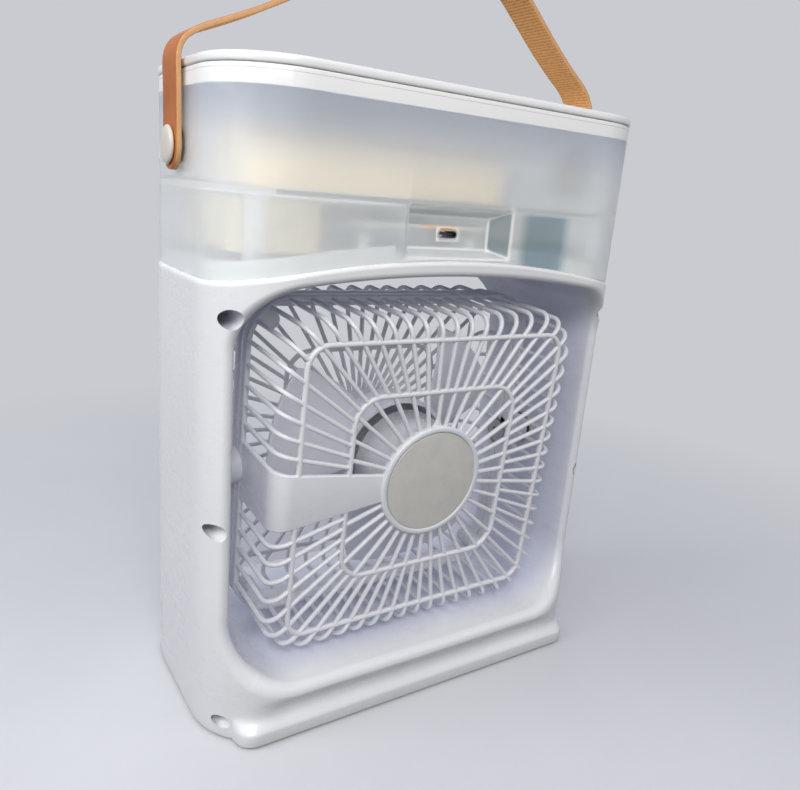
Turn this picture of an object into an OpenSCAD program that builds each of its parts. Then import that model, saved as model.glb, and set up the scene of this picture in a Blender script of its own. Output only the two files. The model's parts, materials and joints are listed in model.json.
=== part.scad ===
// Portable camping fan with a tilting caged head, a mist tank on top and a carrying strap.
// Millimetres. +Z is up and the fan blows towards -Y. The origin is on the table, under the middle.

/* [Housing] */
// Width of the housing
body_w = 195; // [165:1:234]
// Depth of the housing
body_d = 102; // [96:0.2:123]
// Radius of the housing's upright corners
body_r = 30; // [24:1:34]
// Height of the joint between housing and tank, at the middle
joint_z = 192.2; // [180:0.1:231]
// Radius of the arc that this joint follows
joint_r = 431; // [400:1:600]
// Wall of the two housing shells
wall = 2.4; // [2:0.1:2.8]
// Height of the housing's underside over the table
foot_h = 0.8; // [0.6:0.1:1.4]

/* [Foot ledge] */
// Depth over the two ledges
ledge_d = 104; // [103:0.5:112]
// Distance from each end of a ledge to the housing's side
ledge_inset = 9.5; // [9:0.5:20]
// Height of a ledge's upright face
ledge_h = 5; // [4:0.5:6.5]
// Height of its slope
ledge_slope = 5; // [3:0.5:6]

/* [Opening] */
// Width of the posts beside the opening
post_w = 9.5; // [9:0.1:12]
// Height of the opening's floor
open_z0 = 22.5; // [21:0.5:27]
// Height of the strip between the opening's ceiling and the joint
strip_h = 5.7; // [5.2:0.1:8]
// Radius of the arc of the ceiling
ceiling_r = 500; // [450:10:700]
// Radius of the upper corners
open_rt = 25; // [20:1:30]
// Radius of the lower corners
open_rb = 28; // [20:1:32]
// Wall of the tunnel behind the opening
tunnel_wall = 2; // [1.6:0.1:2.2]

/* [Tank] */
// How far the tank stands back from the housing, on every side
tank_inset = 0.6; // [0.4:0.1:1.2]
// Wall of the tank
tank_wall = 2.2; // [1.8:0.1:2.6]
// Height of the tank's floor over the joint
deck_h = 21.6; // [21:0.1:26]
// Height of the tank's inside
tank_h = 37.5; // [36:0.5:50]
// Thickness of the tank's floor
tank_floor = 2; // [1.6:0.1:2.4]

/* [Top] */
// Thickness of the top cover
cover_h = 3.3; // [3.2:0.1:4]
// Depth of its skirt inside the tank
cover_skirt = 6; // [4:0.5:8]
// Width of the filling lid
lid_w = 110; // [100:1:116]
// Depth of the filling lid
lid_d = 32.4; // [30:0.2:34]

/* [Strap] */
// Width of the strap
strap_w = 17; // [15:0.5:20]
// Thickness of the strap
strap_t = 2; // [1.6:0.1:2.4]
// Height of the rivets over the tank's floor
rivet_h = 12; // [10:0.5:16]
// Rise of the strap's sloping stretch on the +X side, in degrees
strap_slope = 28.5; // [27:0.5:42]
// Rise of its stretch on the -X side, in degrees
strap_slope_far = 40; // [28:0.5:42]
// Diameter of the rivet caps
rivet_d = 13.5; // [11:0.5:15]

/* [Fan head] */
// Gap between the cage's side and the opening's side
cage_gap = 15.5; // [14.5:0.5:20]
// Gap between the cage and the opening's floor when the cage hangs straight
cage_lift = 5.5; // [5:0.5:8]
// Distance from the tilt axis to the cage's rear face
cage_back = 40.5; // [40:0.5:44]
// Distance from the tilt axis to the cage's front face
cage_front_d = 26; // [24:0.5:30]
// Lean of the fan head at rest, in degrees
tilt = 4; // [0:0.5:5]
// Width of a rib
rib_w = 1.8; // [1.4:0.1:2.2]
// Thickness of a rib
rib_t = 2; // [1.6:0.1:2.4]
// Number of ribs between hub and inner ring
inner_ribs = 36; // [24:4:40]
// Number of ribs that run over the cage's sides
outer_ribs = 64; // [48:8:64]
// Radius of the hub boss
hub_r = 25.2; // [24:0.2:27]

/* [Impeller] */
// Number of blades
blades = 3; // [2:1:4]
// Gap between the blade tips and the cage's side
tip_gap = 10.5; // [10:0.5:16]
// Angle that one blade covers
blade_span = 62; // [40:1:66]
// Axial depth of a blade
blade_rise = 17; // [10:0.5:18]

/* [Controls] */
// Width of a push button
button_w = 14; // [10:0.5:16]
// Height of a push button
button_h = 6; // [5:0.2:6.2]
// Distance between the buttons
button_pitch = 22; // [19:1:26]
// Travel of a button
button_travel = 1; // [0.6:0.1:1.2]

/* [Hidden] */
$fn = 64;
arc_fn = 1440;
eps = 0.01;
fit = 0.3;
run = 0.06;
half_w = body_w / 2;
half_d = body_d / 2;

// Height of the joint arc at x, grown by up
function over_joint(x, up) = joint_z - joint_r + sqrt(pow(joint_r + up, 2) - x * x);

open_w = body_w - 2 * post_w;
open_z1 = joint_z - strip_h;
ceiling_z = open_z1 - ceiling_r;
corner_x = open_w / 2 - open_rt;
corner_z = ceiling_z + sqrt(pow(ceiling_r - open_rt, 2) - corner_x * corner_x);
inside_w = body_w - 2 * wall;
inside_d = body_d - 2 * wall;

tank_w = body_w - 2 * tank_inset;
tank_d = body_d - 2 * tank_inset;
tank_r = body_r - tank_inset;
floor_z = joint_z + deck_h;
deck_top = floor_z - tank_floor;
tank_top = floor_z + tank_h;
joint_gap = 0.2;
skirt_in_w = tank_w - 2 * tank_wall;
skirt_in_d = tank_d - 2 * tank_wall;
skirt_in_r = tank_r - tank_wall;

pocket_x = 4.1;
pocket_back_w = 39.4;
pocket_mouth_w = 49.2;
pocket_depth = 9.4;
pocket_wall = 1.6;
pocket_z0 = joint_z + 1.4;
pocket_z1 = floor_z - 1.4;
pocket_back_z0 = joint_z + 3.8;
pocket_back_z1 = joint_z + 16.6;
pocket_back_y = tank_d / 2 - pocket_depth;
port_z = joint_z + 9.6;
port_w = 8.94;
port_h = 3.26;
port_l = 7.3;
gasket_w = 10;
gasket_h = 4.6;

board_z = port_z + port_h / 2;
board_t = 1.6;
board_x0 = -18;
board_x1 = 40;
board_y0 = -2;
board_y1 = pocket_back_y - pocket_wall - 0.2;
plug_places = [-7, 29];
plug_size = 8;
plug_z = joint_z + 14.6;
mist_board_z = joint_z + 4.8;
mist_x1 = -34;
mist_x0 = 12 - half_w;
board_holes = [for (x = [board_x0 + 4, board_x1 - 4], y = [board_y0 + 4, board_y1 - 8]) [x, y]];
mist_holes = [for (x = [mist_x0 + 6, mist_x1 - 4], y = [-14, 24]) [x, y]];
board_hole_r = 1.2;
coil_h = 9;
light_y = -33;
light_z = deck_top - 2.2;
light_t = 1;
led_w = 5;
tray_t = 2;
cell_w = 34;
cell_l = 50;
cell_h = 9.3;
cell_x0 = half_w - 44.5;
cell_y0 = half_d - 70;
cell_z0 = over_joint(cell_x0, joint_gap + tray_t) + 0.45;
deck_post_x = half_w - 16;
deck_post_y = half_d - 15;
tray_rim = 6;
strip_end = over_joint(corner_x, 0) - ceiling_z - sqrt(ceiling_r * ceiling_r - corner_x * corner_x);
tray_spigot = strip_end - tunnel_wall - 0.55;
deck_post_z = over_joint(deck_post_x, joint_gap + tray_t);

mist_pitch = 22.7;
mist_count = 5;
mist_z = floor_z + 11.5;
mist_w = 133;
mist_depth = 34;
mist_h = 23.7;
mist_wall = 1.8;
nozzle_r = 5;
mist_y0 = 0.1 - skirt_in_d / 2;
wick_r = 4;
wick_l = 25;
mist_places = [for (i = [0:mist_count - 1]) (i - (mist_count - 1) / 2) * mist_pitch];

cover_z0 = tank_top + 0.1;
cover_top = cover_z0 + cover_h;
lid_t = 1.5;
lid_y = -12.4 - lid_d / 2;
lid_seat_z = cover_top - 2.5;
plug_w = lid_w - 11;
plug_d = lid_d - 9.4;
plug_h = 4;
hinge_y = -10.5;
hinge_z = cover_top - 0.7;
knuckle_r = 2.2;
hinge_pin_r = 1;
knuckles = [[10, 19.6], [34.4, 40]];
lid_knuckle = [20, 34];

strap_in = half_w + 0.5;
strap_x = strap_in + strap_t / 2;
rivet_z = floor_z + rivet_h;
strap_bend_z = cover_top + 3.6;
strap_bend_r = 10;
strap_arc_r = 45;
// Height at which a stretch of that slope, drawn on to x = 0, would put the centre of the top arc
function strap_lift(slope) =
    strap_bend_z + strap_bend_r * cos(slope) - strap_arc_r * cos(slope)
    + (strap_x - strap_bend_r + (strap_bend_r - strap_arc_r) * sin(slope)) * tan(slope);
strap_top_x = (strap_lift(strap_slope) - strap_lift(strap_slope_far))
    / (tan(strap_slope) + tan(strap_slope_far));
strap_top_z = strap_lift(strap_slope) - strap_top_x * tan(strap_slope);
rivet_r = 2.5;
cap_t = 1.8;
cap_x = strap_in + strap_t + fit;

cage_half = min(open_w / 2 - cage_gap, (open_z1 - open_z0) / 2 - 9.5);
pivot_z = open_z0 + cage_half + cage_lift;
cage_r = 19;
cage_bend = 8;
rim_t = 2.4;
rim_h = 6;
ring_proud = 0.2;
flare = 3.6;
ring_out = cage_half - 8.7;
ring_out_r = 10;
ring_in = cage_half - 31;
ring_in_r = 13;
ring_w = 2.1;
boss_r = 8;
boss_x1 = open_w / 2 - 3.6;
hole_l = boss_x1 + 11 - cage_half;
pin_r = 4;
pin_bore = 2;
pin_head_r = 6;
bush_r = 6.4;
bush_flange_r = 8.5;
bush_x1 = open_w / 2 + 3;
seat_r = 9.5;
seat_fit = 0.05;
seat_x1 = open_w / 2 + 3.5;
ear_x = cage_half - 9;
ear_r = 4;
cup_r = hub_r - 2.2;
cup_wall = 2.2;
cup_z = 14;
can_r = 12.2;
can_l = 19.5;
plate_t = 2.2;
can_z = cup_z + plate_t / 2 + 0.6;
plate_z = cup_z - plate_t / 2 + 0.5;
motor_screw_x = 8;
shaft_r = 1.15;
shaft_out = 3.4;
bearing_r = 2.45;
bearing_l = 3;
disc_r = hub_r - 2.6;
front_disc_r = 19;
front_ribs = 48;
arm_root = 5.8;
arm_mid = 11.7;
arm_end = 13.3;

tip_r = cage_half - tip_gap;
blade_root_r = 25.6;
blade_mid = 5;
blade_t = 1.8;
blade_start = 34;
blade_sweep = 15;
spinner_r = 27;
spinner_wall = 2;
spinner_z0 = -5;
spinner_z1 = 12;

screw_r = 1.35;
screw_hole = 1.6;
screw_pilot = 1.4;
head_r = 2.6;
head_h = 1.8;
small_screw_r = 0.95;
small_head_r = 1.9;
screw_seat = 14;
screw_len = 26;
boss_wall = 1.3;
front_boss_l = 16;
front_boss_r = head_r + boss_wall;
low_screw_x = half_w - 6;
screw_places = [
    [half_w - 7.2, corner_z + 12.3, 3.6, front_boss_r],
    [half_w - 4.3, pivot_z - 11.5, 3.2, front_boss_r],
    [low_screw_x, 8, 3.4, max(front_boss_r, half_w - wall - low_screw_x + 0.3)]];

base_w = body_w - 39;
base_d = body_d - 26;
base_r = 6;
base_post_x = base_w / 2 - 9;
base_post_y = base_d / 2 - 9;
base_post_r = 3.4;
foot_x = half_w - 25.5;
foot_y = half_d - 5;
foot_r = 4.6;
foot_seat = 0.8;
button_z = ledge_h + ledge_slope + foot_h + 5.4;
button_proud = 1.2;
button_gap = 0.2;
keypad_y = wall - half_d + 8.6;
keypad_w = 2 * button_pitch + 24;
keypad_t = 1.6;
switch_h = 3.5;
plunger_h = 1.1;
stem_gap = button_travel + 0.2;
button_places = [-button_pitch, 0, button_pitch];

lead_r = 1.1;
lead_sides = 8;
lead_x = half_w - 4.2;
lead_hole_x = lead_x - 7.5;
lead_hole_z = over_joint(lead_hole_x, 0);
motor_lead_path = [
    [5, 0, cage_back - 3.1], [14, 0, cage_back - 3.1], [26, 0, cage_back - 3.3], [40, 0, cage_back - 3.5],
    [cage_half - 14, 0, cage_back - 3.5], [cage_half - 9.5, 0, cage_back - 4.5],
    [cage_half - 7, 0, cage_back - 8],
    [cage_half - 6.5, 0, cage_back - 13], [cage_half - 6.5, 0, 16], [cage_half - 6.5, 0, 8],
    [cage_half - 6.2, 0, 4], [cage_half - 5, 0, 1.4], [cage_half - 3, 0, 0.2], [cage_half - 1, 0, 0],
    [cage_half + 8, 0, 0], [open_w / 2 + 2.4, 0, 0]];
housing_lead_path = [
    [open_w / 2 + 2.6, 0, pivot_z], [lead_x - 2.4, 0, pivot_z], [lead_x - 1.2, 0, pivot_z + 0.5],
    [lead_x - 0.3, 0, pivot_z + 1.8],
    [lead_x, -1, pivot_z + 4], [lead_x, -5, pivot_z + 12], [lead_x, -15, pivot_z + 30],
    [lead_x, -22, pivot_z + 50],
    [lead_x - 1, -25, pivot_z + 68], [lead_x - 4, -25, lead_hole_z - 3.4],
    [lead_x - 7, -25, lead_hole_z + 4.6], [lead_x - 12, -25, lead_hole_z + 10.6],
    [lead_x - 30, -25, joint_z + 5], [48, -23, joint_z + 8],
    [36, -16, joint_z + 12], [30, -8, plug_z - 0.3], [plug_places[1], board_y0 - 3, plug_z],
    [plug_places[1], board_y0 - 0.1, plug_z]];
button_lead_path = [
    [plug_places[0], board_y0 - 0.1, plug_z], [plug_places[0], board_y0 - 3, plug_z],
    [-9, -8, plug_z - 0.4], [-18, -17, joint_z + 10],
    [-36, -25, joint_z + 6], [-58, -26, joint_z + 4], [6 - lead_x, -26, joint_z - 5],
    [2.5 - lead_x, -25, joint_z - 16], [1 - lead_x, -23, joint_z - 34], [0.6 - lead_x, -21, pivot_z + 30],
    [0.6 - lead_x, -21, pivot_z], [0.6 - lead_x, -21, pivot_z - 40], [1 - lead_x, -22, 42],
    [3 - lead_x, -24, 28],
    [10 - lead_x, -30, 16], [20 - lead_x, keypad_y + 5.4, 11.4], [-60, keypad_y + 5.6, 10.5],
    [-38, keypad_y + 5.6, 10.5], [-30, keypad_y + 5.4, 10.5], [-27.4, keypad_y + 4.6, 10.5],
    [-26.4, keypad_y + 3, 10.5], [-26.3, keypad_y + keypad_t + 0.1, 10.5]];

// ---- shared shapes ----

// Plan outline with round corners
module rounded(w, d, r) {
    square([w - 2 * r, d], center = true);
    square([w, d - 2 * r], center = true);
    for (x = [-1, 1], y = [-1, 1])
        translate([x * (w / 2 - r), y * (d / 2 - r)]) circle(r);
}

// Upright block with round corners between two heights
module slab(w, d, r, z0, z1) {
    translate([0, 0, z0]) linear_extrude(z1 - z0) rounded(w, d, r);
}

// Flat shape drawn in X and Z, carried along Y from y0 to y1
module along_y(y0, y1) {
    translate([0, y1, 0]) rotate([90, 0, 0]) linear_extrude(y1 - y0) children();
}

// Cylinder along X or Y that starts at a point
module rod_x(p, r, l) {
    translate(p) rotate([0, 90, 0]) cylinder(r = r, h = l);
}
module rod_y(p, r, l) {
    translate(p) rotate([-90, 0, 0]) cylinder(r = r, h = l);
}
module tube_x(p, r, bore, l) {
    difference() {
        rod_x(p, r, l);
        rod_x(p - [1, 0, 0], bore, l + 2);
    }
}

// Everything under the joint arc, grown by g
module below_joint(g) {
    translate([0, body_d, joint_z - joint_r]) rotate([90, 0, 0])
        cylinder(r = joint_r + g, h = 2 * body_d, $fn = arc_fn);
}

// Outline of the opening, grown by g
module opening(g) {
    hw = open_w / 2;
    rt = open_rt + g;
    rb = open_rb + g;
    cz = ceiling_z;
    xt = corner_x;
    zt = corner_z;
    zb = open_z0 + open_rb;
    reach = 1.3;
    translate([-hw - g, zb]) square([2 * (hw + g), zt - zb]);
    translate([open_rb - hw, open_z0 - g]) square([2 * (hw - open_rb), open_rb + g + eps]);
    for (s = [-1, 1]) {
        translate([s * xt, zt]) circle(rt);
        translate([s * (hw - open_rb), zb]) circle(rb);
    }
    intersection() {
        translate([0, cz]) circle(ceiling_r + g, $fn = arc_fn);
        polygon([[-xt, zt - eps], [xt, zt - eps],
                 [xt * reach, cz + (zt - cz) * reach], [-xt * reach, cz + (zt - cz) * reach]]);
    }
}

// Four-sided block that tapers along Y; each end is [y, x0, x1, z0, z1]
module taper(a, b) {
    polyhedron(
        points = [
            [a[1], a[0], a[3]], [a[2], a[0], a[3]], [a[2], a[0], a[4]], [a[1], a[0], a[4]],
            [b[1], b[0], b[3]], [b[2], b[0], b[3]], [b[2], b[0], b[4]], [b[1], b[0], b[4]]],
        faces = [[3, 2, 1, 0], [4, 5, 6, 7], [0, 1, 5, 4], [1, 2, 6, 5], [2, 3, 7, 6], [3, 0, 4, 7]]);
}

// Pan-head screw along +Z: the head's underside is at z = 0 and the shank goes down
module screw(r, l, hr, hh) {
    slot = 0.7;
    difference() {
        cylinder(r = hr, h = hh);
        for (a = [0, 90])
            rotate([0, 0, a]) translate([-hr * 0.6, -slot / 2, hh * 0.45]) cube([hr * 1.2, slot, hh]);
    }
    translate([0, 0, -l]) cylinder(r = r, h = l + eps);
}

// Round wire swept along a list of points
function unit(v) = v / norm(v);
function heading(p, i) = unit(p[min(i + 1, len(p) - 1)] - p[max(i - 1, 0)]);
function ring(p, i, r, n, ref) =
    let (t = heading(p, i), u = unit(cross(ref, t)), v = cross(t, u))
    [for (k = [0:n - 1]) p[i] + r * (cos(360 * k / n) * u + sin(360 * k / n) * v)];
module wire(p, r, ref) {
    n = lead_sides;
    m = len(p);
    polyhedron(
        points = [for (i = [0:m - 1]) each ring(p, i, r, n, ref)],
        faces = concat(
            [[for (k = [n - 1:-1:0]) k]],
            [for (i = [0:m - 2], k = [0:n - 1]) each
                [[i * n + k, i * n + (k + 1) % n, (i + 1) * n + k],
                 [(i + 1) * n + k, i * n + (k + 1) % n, (i + 1) * n + (k + 1) % n]]],
            [[for (k = [0:n - 1]) (m - 1) * n + k]]));
}

// ---- housing ----

// Ledge along the foot, on both faces
module ledges() {
    y = ledge_d / 2;
    z = foot_h + ledge_h;
    intersection() {
        rotate([90, 0, 90]) linear_extrude(body_w, center = true)
            polygon([[-y, foot_h], [y, foot_h], [y, z],
                     [half_d, z + ledge_slope], [-half_d, z + ledge_slope], [-y, z]]);
        slab(body_w - 2 * ledge_inset, ledge_d, 8, 0, joint_z);
    }
}

module body_block() {
    intersection() {
        slab(body_w, body_d, body_r, foot_h, joint_z + 1);
        below_joint(0);
    }
}

// Hollow that the two shells share, around the tunnel
module shell_hollow() {
    difference() {
        slab(inside_w, inside_d, body_r - wall, foot_h + wall, joint_z + 2);
        along_y(-body_d, body_d) opening(tunnel_wall);
    }
}

module half_space(s) {
    translate([-body_w, s > 0 ? 0 : -2 * body_d, -10]) cube([2 * body_w, 2 * body_d, joint_z + 40]);
}

// Boss of a shell screw: the rear one holds the deep recess, the front one the thread
module screw_boss(s, x, p) {
    l = s > 0 ? half_d : front_boss_l;
    rod_y([x * p[0], s > 0 ? 0 : -l, p[1]], s > 0 ? p[2] + boss_wall : p[3], l);
}

module screw_hollow(s, x, p) {
    if (s > 0) {
        rod_y([x * p[0], -1, p[1]], screw_hole, half_d);
        rod_y([x * p[0], screw_seat, p[1]], p[2], half_d);
    } else rod_y([x * p[0], 2 - front_boss_l, p[1]], screw_pilot, front_boss_l);
}

// Round seat of a tilt bush, between two distances from the middle
module bush_seat(x, r, x0, x1) {
    rod_x([x > 0 ? x0 : -x1, 0, pivot_z], r, x1 - x0);
}

// One shell: s = 1 is the rear one, s = -1 the front one
module half_shell(s) {
    difference() {
        intersection() {
            union() {
                difference() {
                    union() {
                        body_block();
                        ledges();
                    }
                    shell_hollow();
                }
                intersection() {
                    body_block();
                    union() {
                        for (x = [-1, 1], p = screw_places) screw_boss(s, x, p);
                        for (x = [-1, 1]) bush_seat(x, seat_r, open_w / 2 + 1, seat_x1);
                        for (x = [-1, 1])
                            translate([x * base_post_x, s * base_post_y, foot_h + wall])
                                cylinder(r = base_post_r, h = open_z0 - foot_h - wall);
                    }
                }
                if (s < 0) keypad_rails();
            }
            half_space(s);
        }
        along_y(-body_d, body_d) opening(0);
        for (x = [-1, 1], p = screw_places) screw_hollow(s, x, p);
        for (x = [-1, 1]) {
            bush_seat(x, bush_r + seat_fit, open_w / 2 - 2, seat_x1 + 1);
            translate([x * base_post_x, s * base_post_y, 0]) cylinder(r = screw_pilot, h = 15);
            translate([x * foot_x, s * foot_y, 0]) cylinder(r = foot_r + 0.1, h = foot_h + foot_seat);
        }
        slab(base_w + 2 * fit, base_d + 2 * fit, base_r, 0, foot_h + wall + eps);
        if (s < 0) for (x = button_places)
            along_y(-body_d, -inside_d / 2 + 1) translate([x, button_z])
                rounded(button_w + 2 * button_gap, button_h + 2 * button_gap, button_h / 2);
    }
}

// Two grooved rails that hold the button board behind the front wall
module keypad_rails() {
    for (x = [-1, 1])
        difference() {
            translate([x * keypad_w / 2 - 2.5, -half_d + 1, foot_h + 1]) cube([5, 14, 12]);
            translate([-keypad_w / 2 - 0.2, keypad_y - 0.2, foot_h + 3])
                cube([keypad_w + 0.4, keypad_t + 0.4, 20]);
            translate([x > 0 ? keypad_w / 2 - 6 : -keypad_w / 2, -half_d + 2.4, foot_h + wall])
                cube([x > 0 ? 5 : 6, 20, 20]);
        }
}

module rear_shell() { color("white") half_shell(1); }
module front_shell() { color("white") half_shell(-1); }

module base_plate() {
    color("gainsboro") difference() {
        slab(base_w, base_d, base_r, foot_h, foot_h + wall);
        for (x = [-1, 1], y = [-1, 1]) translate([x * base_post_x, y * base_post_y, 0]) {
            cylinder(r = screw_hole, h = 10);
            cylinder(r = head_r + 0.2, h = foot_h + 1.4);
        }
    }
}

module base_screws() {
    color("silver") for (x = [-1, 1], y = [-1, 1])
        translate([x * base_post_x, y * base_post_y, foot_h + 1.4])
            mirror([0, 0, 1]) screw(screw_r, 11, head_r, 1.2);
}

module rubber_feet() {
    h = foot_h + foot_seat;
    chamfer = 0.4;
    color("dimgray") for (x = [-1, 1], y = [-1, 1])
        translate([x * foot_x, y * foot_y, 0]) rotate_extrude()
            polygon([[0, 0], [foot_r - chamfer, 0], [foot_r, chamfer], [foot_r, h], [0, h]]);
}

module shell_screws() {
    color("silver") for (x = [-1, 1], p = screw_places)
        translate([x * p[0], screw_seat, p[1]]) rotate([-90, 0, 0]) screw(screw_r, screw_len, head_r, head_h);
}

// ---- deck under the tank ----

module deck_tray() {
    w = skirt_in_w - 2 * fit;
    d = skirt_in_d - 2 * fit;
    r = skirt_in_r - fit;
    board_posts = [for (p = board_holes) [p[0], p[1], board_z]];
    mist_posts = [for (p = mist_holes) [p[0], p[1], mist_board_z]];
    light_posts = [for (x = [-50, 50]) [x, light_y, light_z]];
    color("whitesmoke") difference() {
        union() {
            difference() {
                intersection() {
                    slab(w, d, r, 100, joint_z + 20);
                    below_joint(joint_gap + tray_t);
                }
                below_joint(joint_gap);
            }
            difference() {
                intersection() {
                    slab(w, d, r, 100, joint_z + 20);
                    below_joint(tray_rim);
                }
                slab(w - 4, d - 4, r - 2, 90, joint_z + 30);
                below_joint(-tray_spigot);
            }
            difference() {
                for (p = concat(board_posts, mist_posts, light_posts))
                    translate([p[0], p[1], joint_z - 20]) cylinder(r = 2.2, h = p[2] - joint_z + 20);
                below_joint(joint_gap + 1);
            }
            intersection() {
                for (x = [-1, 1], y = [-1, 1])
                    translate([x * deck_post_x, y * deck_post_y, deck_post_z - 3]) cylinder(r = 4.2, h = 4);
                slab(w, d, r, 100, joint_z + 20);
            }
        }
        for (x = [-1, 1], y = [-1, 1])
            translate([x * deck_post_x, y * deck_post_y, 100]) cylinder(r = screw_hole, h = 120);
        for (p = concat(board_posts, mist_posts)) translate([p[0], p[1], p[2] - 6]) cylinder(r = 1, h = 7);
        for (x = [lead_hole_x, 5.5 - lead_x]) translate([x, -25, 100]) cylinder(r = 3.5, h = 100);
        translate([pocket_x - pocket_mouth_w / 2 - 3.5, pocket_back_y - 3, joint_z - 1])
            cube([pocket_mouth_w + 7, 20, 20]);
    }
}

module deck_screws() {
    color("silver") for (x = [-1, 1], y = [-1, 1])
        translate([x * deck_post_x, y * deck_post_y, deck_post_z - 3])
            mirror([0, 0, 1]) screw(screw_r, 10, head_r, 1.4);
}

module main_board() {
    color("darkseagreen") difference() {
        translate([board_x0, board_y0, board_z]) cube([board_x1 - board_x0, board_y1 - board_y0, board_t]);
        for (p = board_holes) translate([p[0], p[1], 100]) cylinder(r = board_hole_r, h = 200);
    }
}

module board_parts() {
    z = board_z + board_t;
    color("dimgray") {
        for (p = [[2, 14, 6], [18, 20, 5], [-6, 26, 4]]) translate([p[0], p[1], z]) cube([p[2], p[2], 1.1]);
        translate([24, 10, z]) cylinder(r = 3.4, h = 4);
        translate([10, 28, z]) cube([7, 4, 2.2]);
        for (x = plug_places) translate([x - plug_size / 2, board_y0, z]) cube([plug_size, 5, 3.4]);
        translate([4, board_y0, z]) cube([12, 5, 3.4]);
    }
}

module board_screws() {
    color("silver") {
        for (p = board_holes)
            translate([p[0], p[1], board_z + board_t]) screw(small_screw_r, 6, small_head_r, 1.3);
        for (p = mist_holes)
            translate([p[0], p[1], mist_board_z + board_t]) screw(small_screw_r, 6, small_head_r, 1.3);
    }
}

// Flat oval as a USB-C shell has it
module oval(w, h) { rounded(w, h, h / 2 - eps); }

module usb_socket() {
    y1 = pocket_back_y + 0.2;
    shell_t = 0.3;
    color("silver") difference() {
        along_y(y1 - port_l, y1) translate([pocket_x, port_z]) oval(port_w, port_h);
        along_y(y1 - port_l + 0.6, y1 + 1) translate([pocket_x, port_z])
            oval(port_w - 2 * shell_t, port_h - 2 * shell_t);
    }
}

module usb_tongue() {
    y1 = pocket_back_y + 0.2;
    color("black") translate([pocket_x - 3.3, y1 - port_l + 0.6, port_z - 0.35]) cube([6.6, 5.4, 0.7]);
}

module port_gasket() {
    color("gainsboro") difference() {
        along_y(pocket_back_y - pocket_wall + 0.1, pocket_back_y + 0.1) translate([pocket_x, port_z])
            oval(gasket_w - 0.1, gasket_h - 0.1);
        along_y(0, body_d) translate([pocket_x, port_z]) oval(port_w + 0.1, port_h + 0.1);
        translate([0, 0, board_z - 0.02]) cube([50, body_d, 10]);
    }
}

// Two flat cells in one wrap
module battery_pack() {
    color("moccasin") for (i = [0, 1])
        translate([cell_x0, cell_y0, cell_z0 + i * (cell_h + 0.1)])
            intersection() {
                cube([cell_w, cell_l, cell_h]);
                translate([cell_w / 2, cell_l / 2, 0]) slab(cell_w, cell_l, 3, 0, cell_h);
            }
}

module mist_board() {
    color("darkseagreen") difference() {
        translate([mist_x0, -20, mist_board_z]) cube([mist_x1 - mist_x0, 50, board_t]);
        for (p = mist_holes) translate([p[0], p[1], 100]) cylinder(r = board_hole_r, h = 200);
    }
}

module mist_coils() {
    step = (mist_x1 - mist_x0 - 22) / (mist_count - 1);
    color("wheat") for (i = [0:mist_count - 1])
        translate([mist_x1 - 12 - i * step, i % 2 == 0 ? 12 : 2, mist_board_z + board_t]) {
            cylinder(r = 4.4, h = coil_h);
            cylinder(r = 5, h = 1.2);
        }
}

module light_board() {
    color("white") translate([-60, light_y - 5, light_z]) cube([120, 10, light_t]);
}

module light_leds() {
    color("lightyellow") for (i = [0:5])
        translate([-52.5 + i * 20, light_y - led_w / 2, light_z + light_t]) cube([led_w, led_w, 0.9]);
}

// ---- tank ----

module tank() {
    yb = pocket_back_y;
    ym = tank_d / 2;
    slope_x = (pocket_mouth_w - pocket_back_w) / 2 / pocket_depth;
    x0 = pocket_x - pocket_back_w / 2;
    x1 = pocket_x + pocket_back_w / 2;
    rise0 = (pocket_back_z0 - pocket_z0) / pocket_depth;
    rise1 = (pocket_z1 - pocket_back_z1) / pocket_depth;
    w = pocket_wall;
    over = pocket_depth + 1;
    under = pocket_depth - tank_wall / 2;
    color("lightgray", 0.6) difference() {
        union() {
            difference() {
                slab(tank_w, tank_d, tank_r, joint_z - 40, tank_top);
                below_joint(joint_gap);
                slab(skirt_in_w, skirt_in_d, skirt_in_r, floor_z, tank_top + 1);
                slab(skirt_in_w, skirt_in_d, skirt_in_r, joint_z - 50, deck_top);
            }
            for (x = [-1, 1], y = [-1, 1])
                translate([x * deck_post_x, y * deck_post_y, deck_post_z + 1.1])
                    cylinder(r = 3.6, h = deck_top - deck_post_z);
            taper([yb - w, x0 - w, x1 + w, pocket_back_z0 - w, pocket_back_z1 + w],
                  [yb + under, x0 - w - slope_x * under, x1 + w + slope_x * under,
                   pocket_back_z0 - w - rise0 * under, pocket_back_z1 + w + rise1 * under]);
        }
        taper([yb, x0, x1, pocket_back_z0, pocket_back_z1],
              [yb + over, x0 - slope_x * over, x1 + slope_x * over,
               pocket_back_z0 - rise0 * over, pocket_back_z1 + rise1 * over]);
        along_y(0, body_d) translate([pocket_x, port_z]) oval(gasket_w, gasket_h);
        for (x = [-1, 1], y = [-1, 1])
            translate([x * deck_post_x, y * deck_post_y, 100])
                cylinder(r = screw_pilot, h = deck_post_z - 88);
        for (x = [-1, 1]) rod_x([x * half_w - 5, 0, rivet_z], rivet_r + 0.05, 10);
        for (x = mist_places) rod_y([x, -body_d, mist_z], nozzle_r + 0.2, body_d - skirt_in_d / 2 + 2);
    }
}

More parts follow.
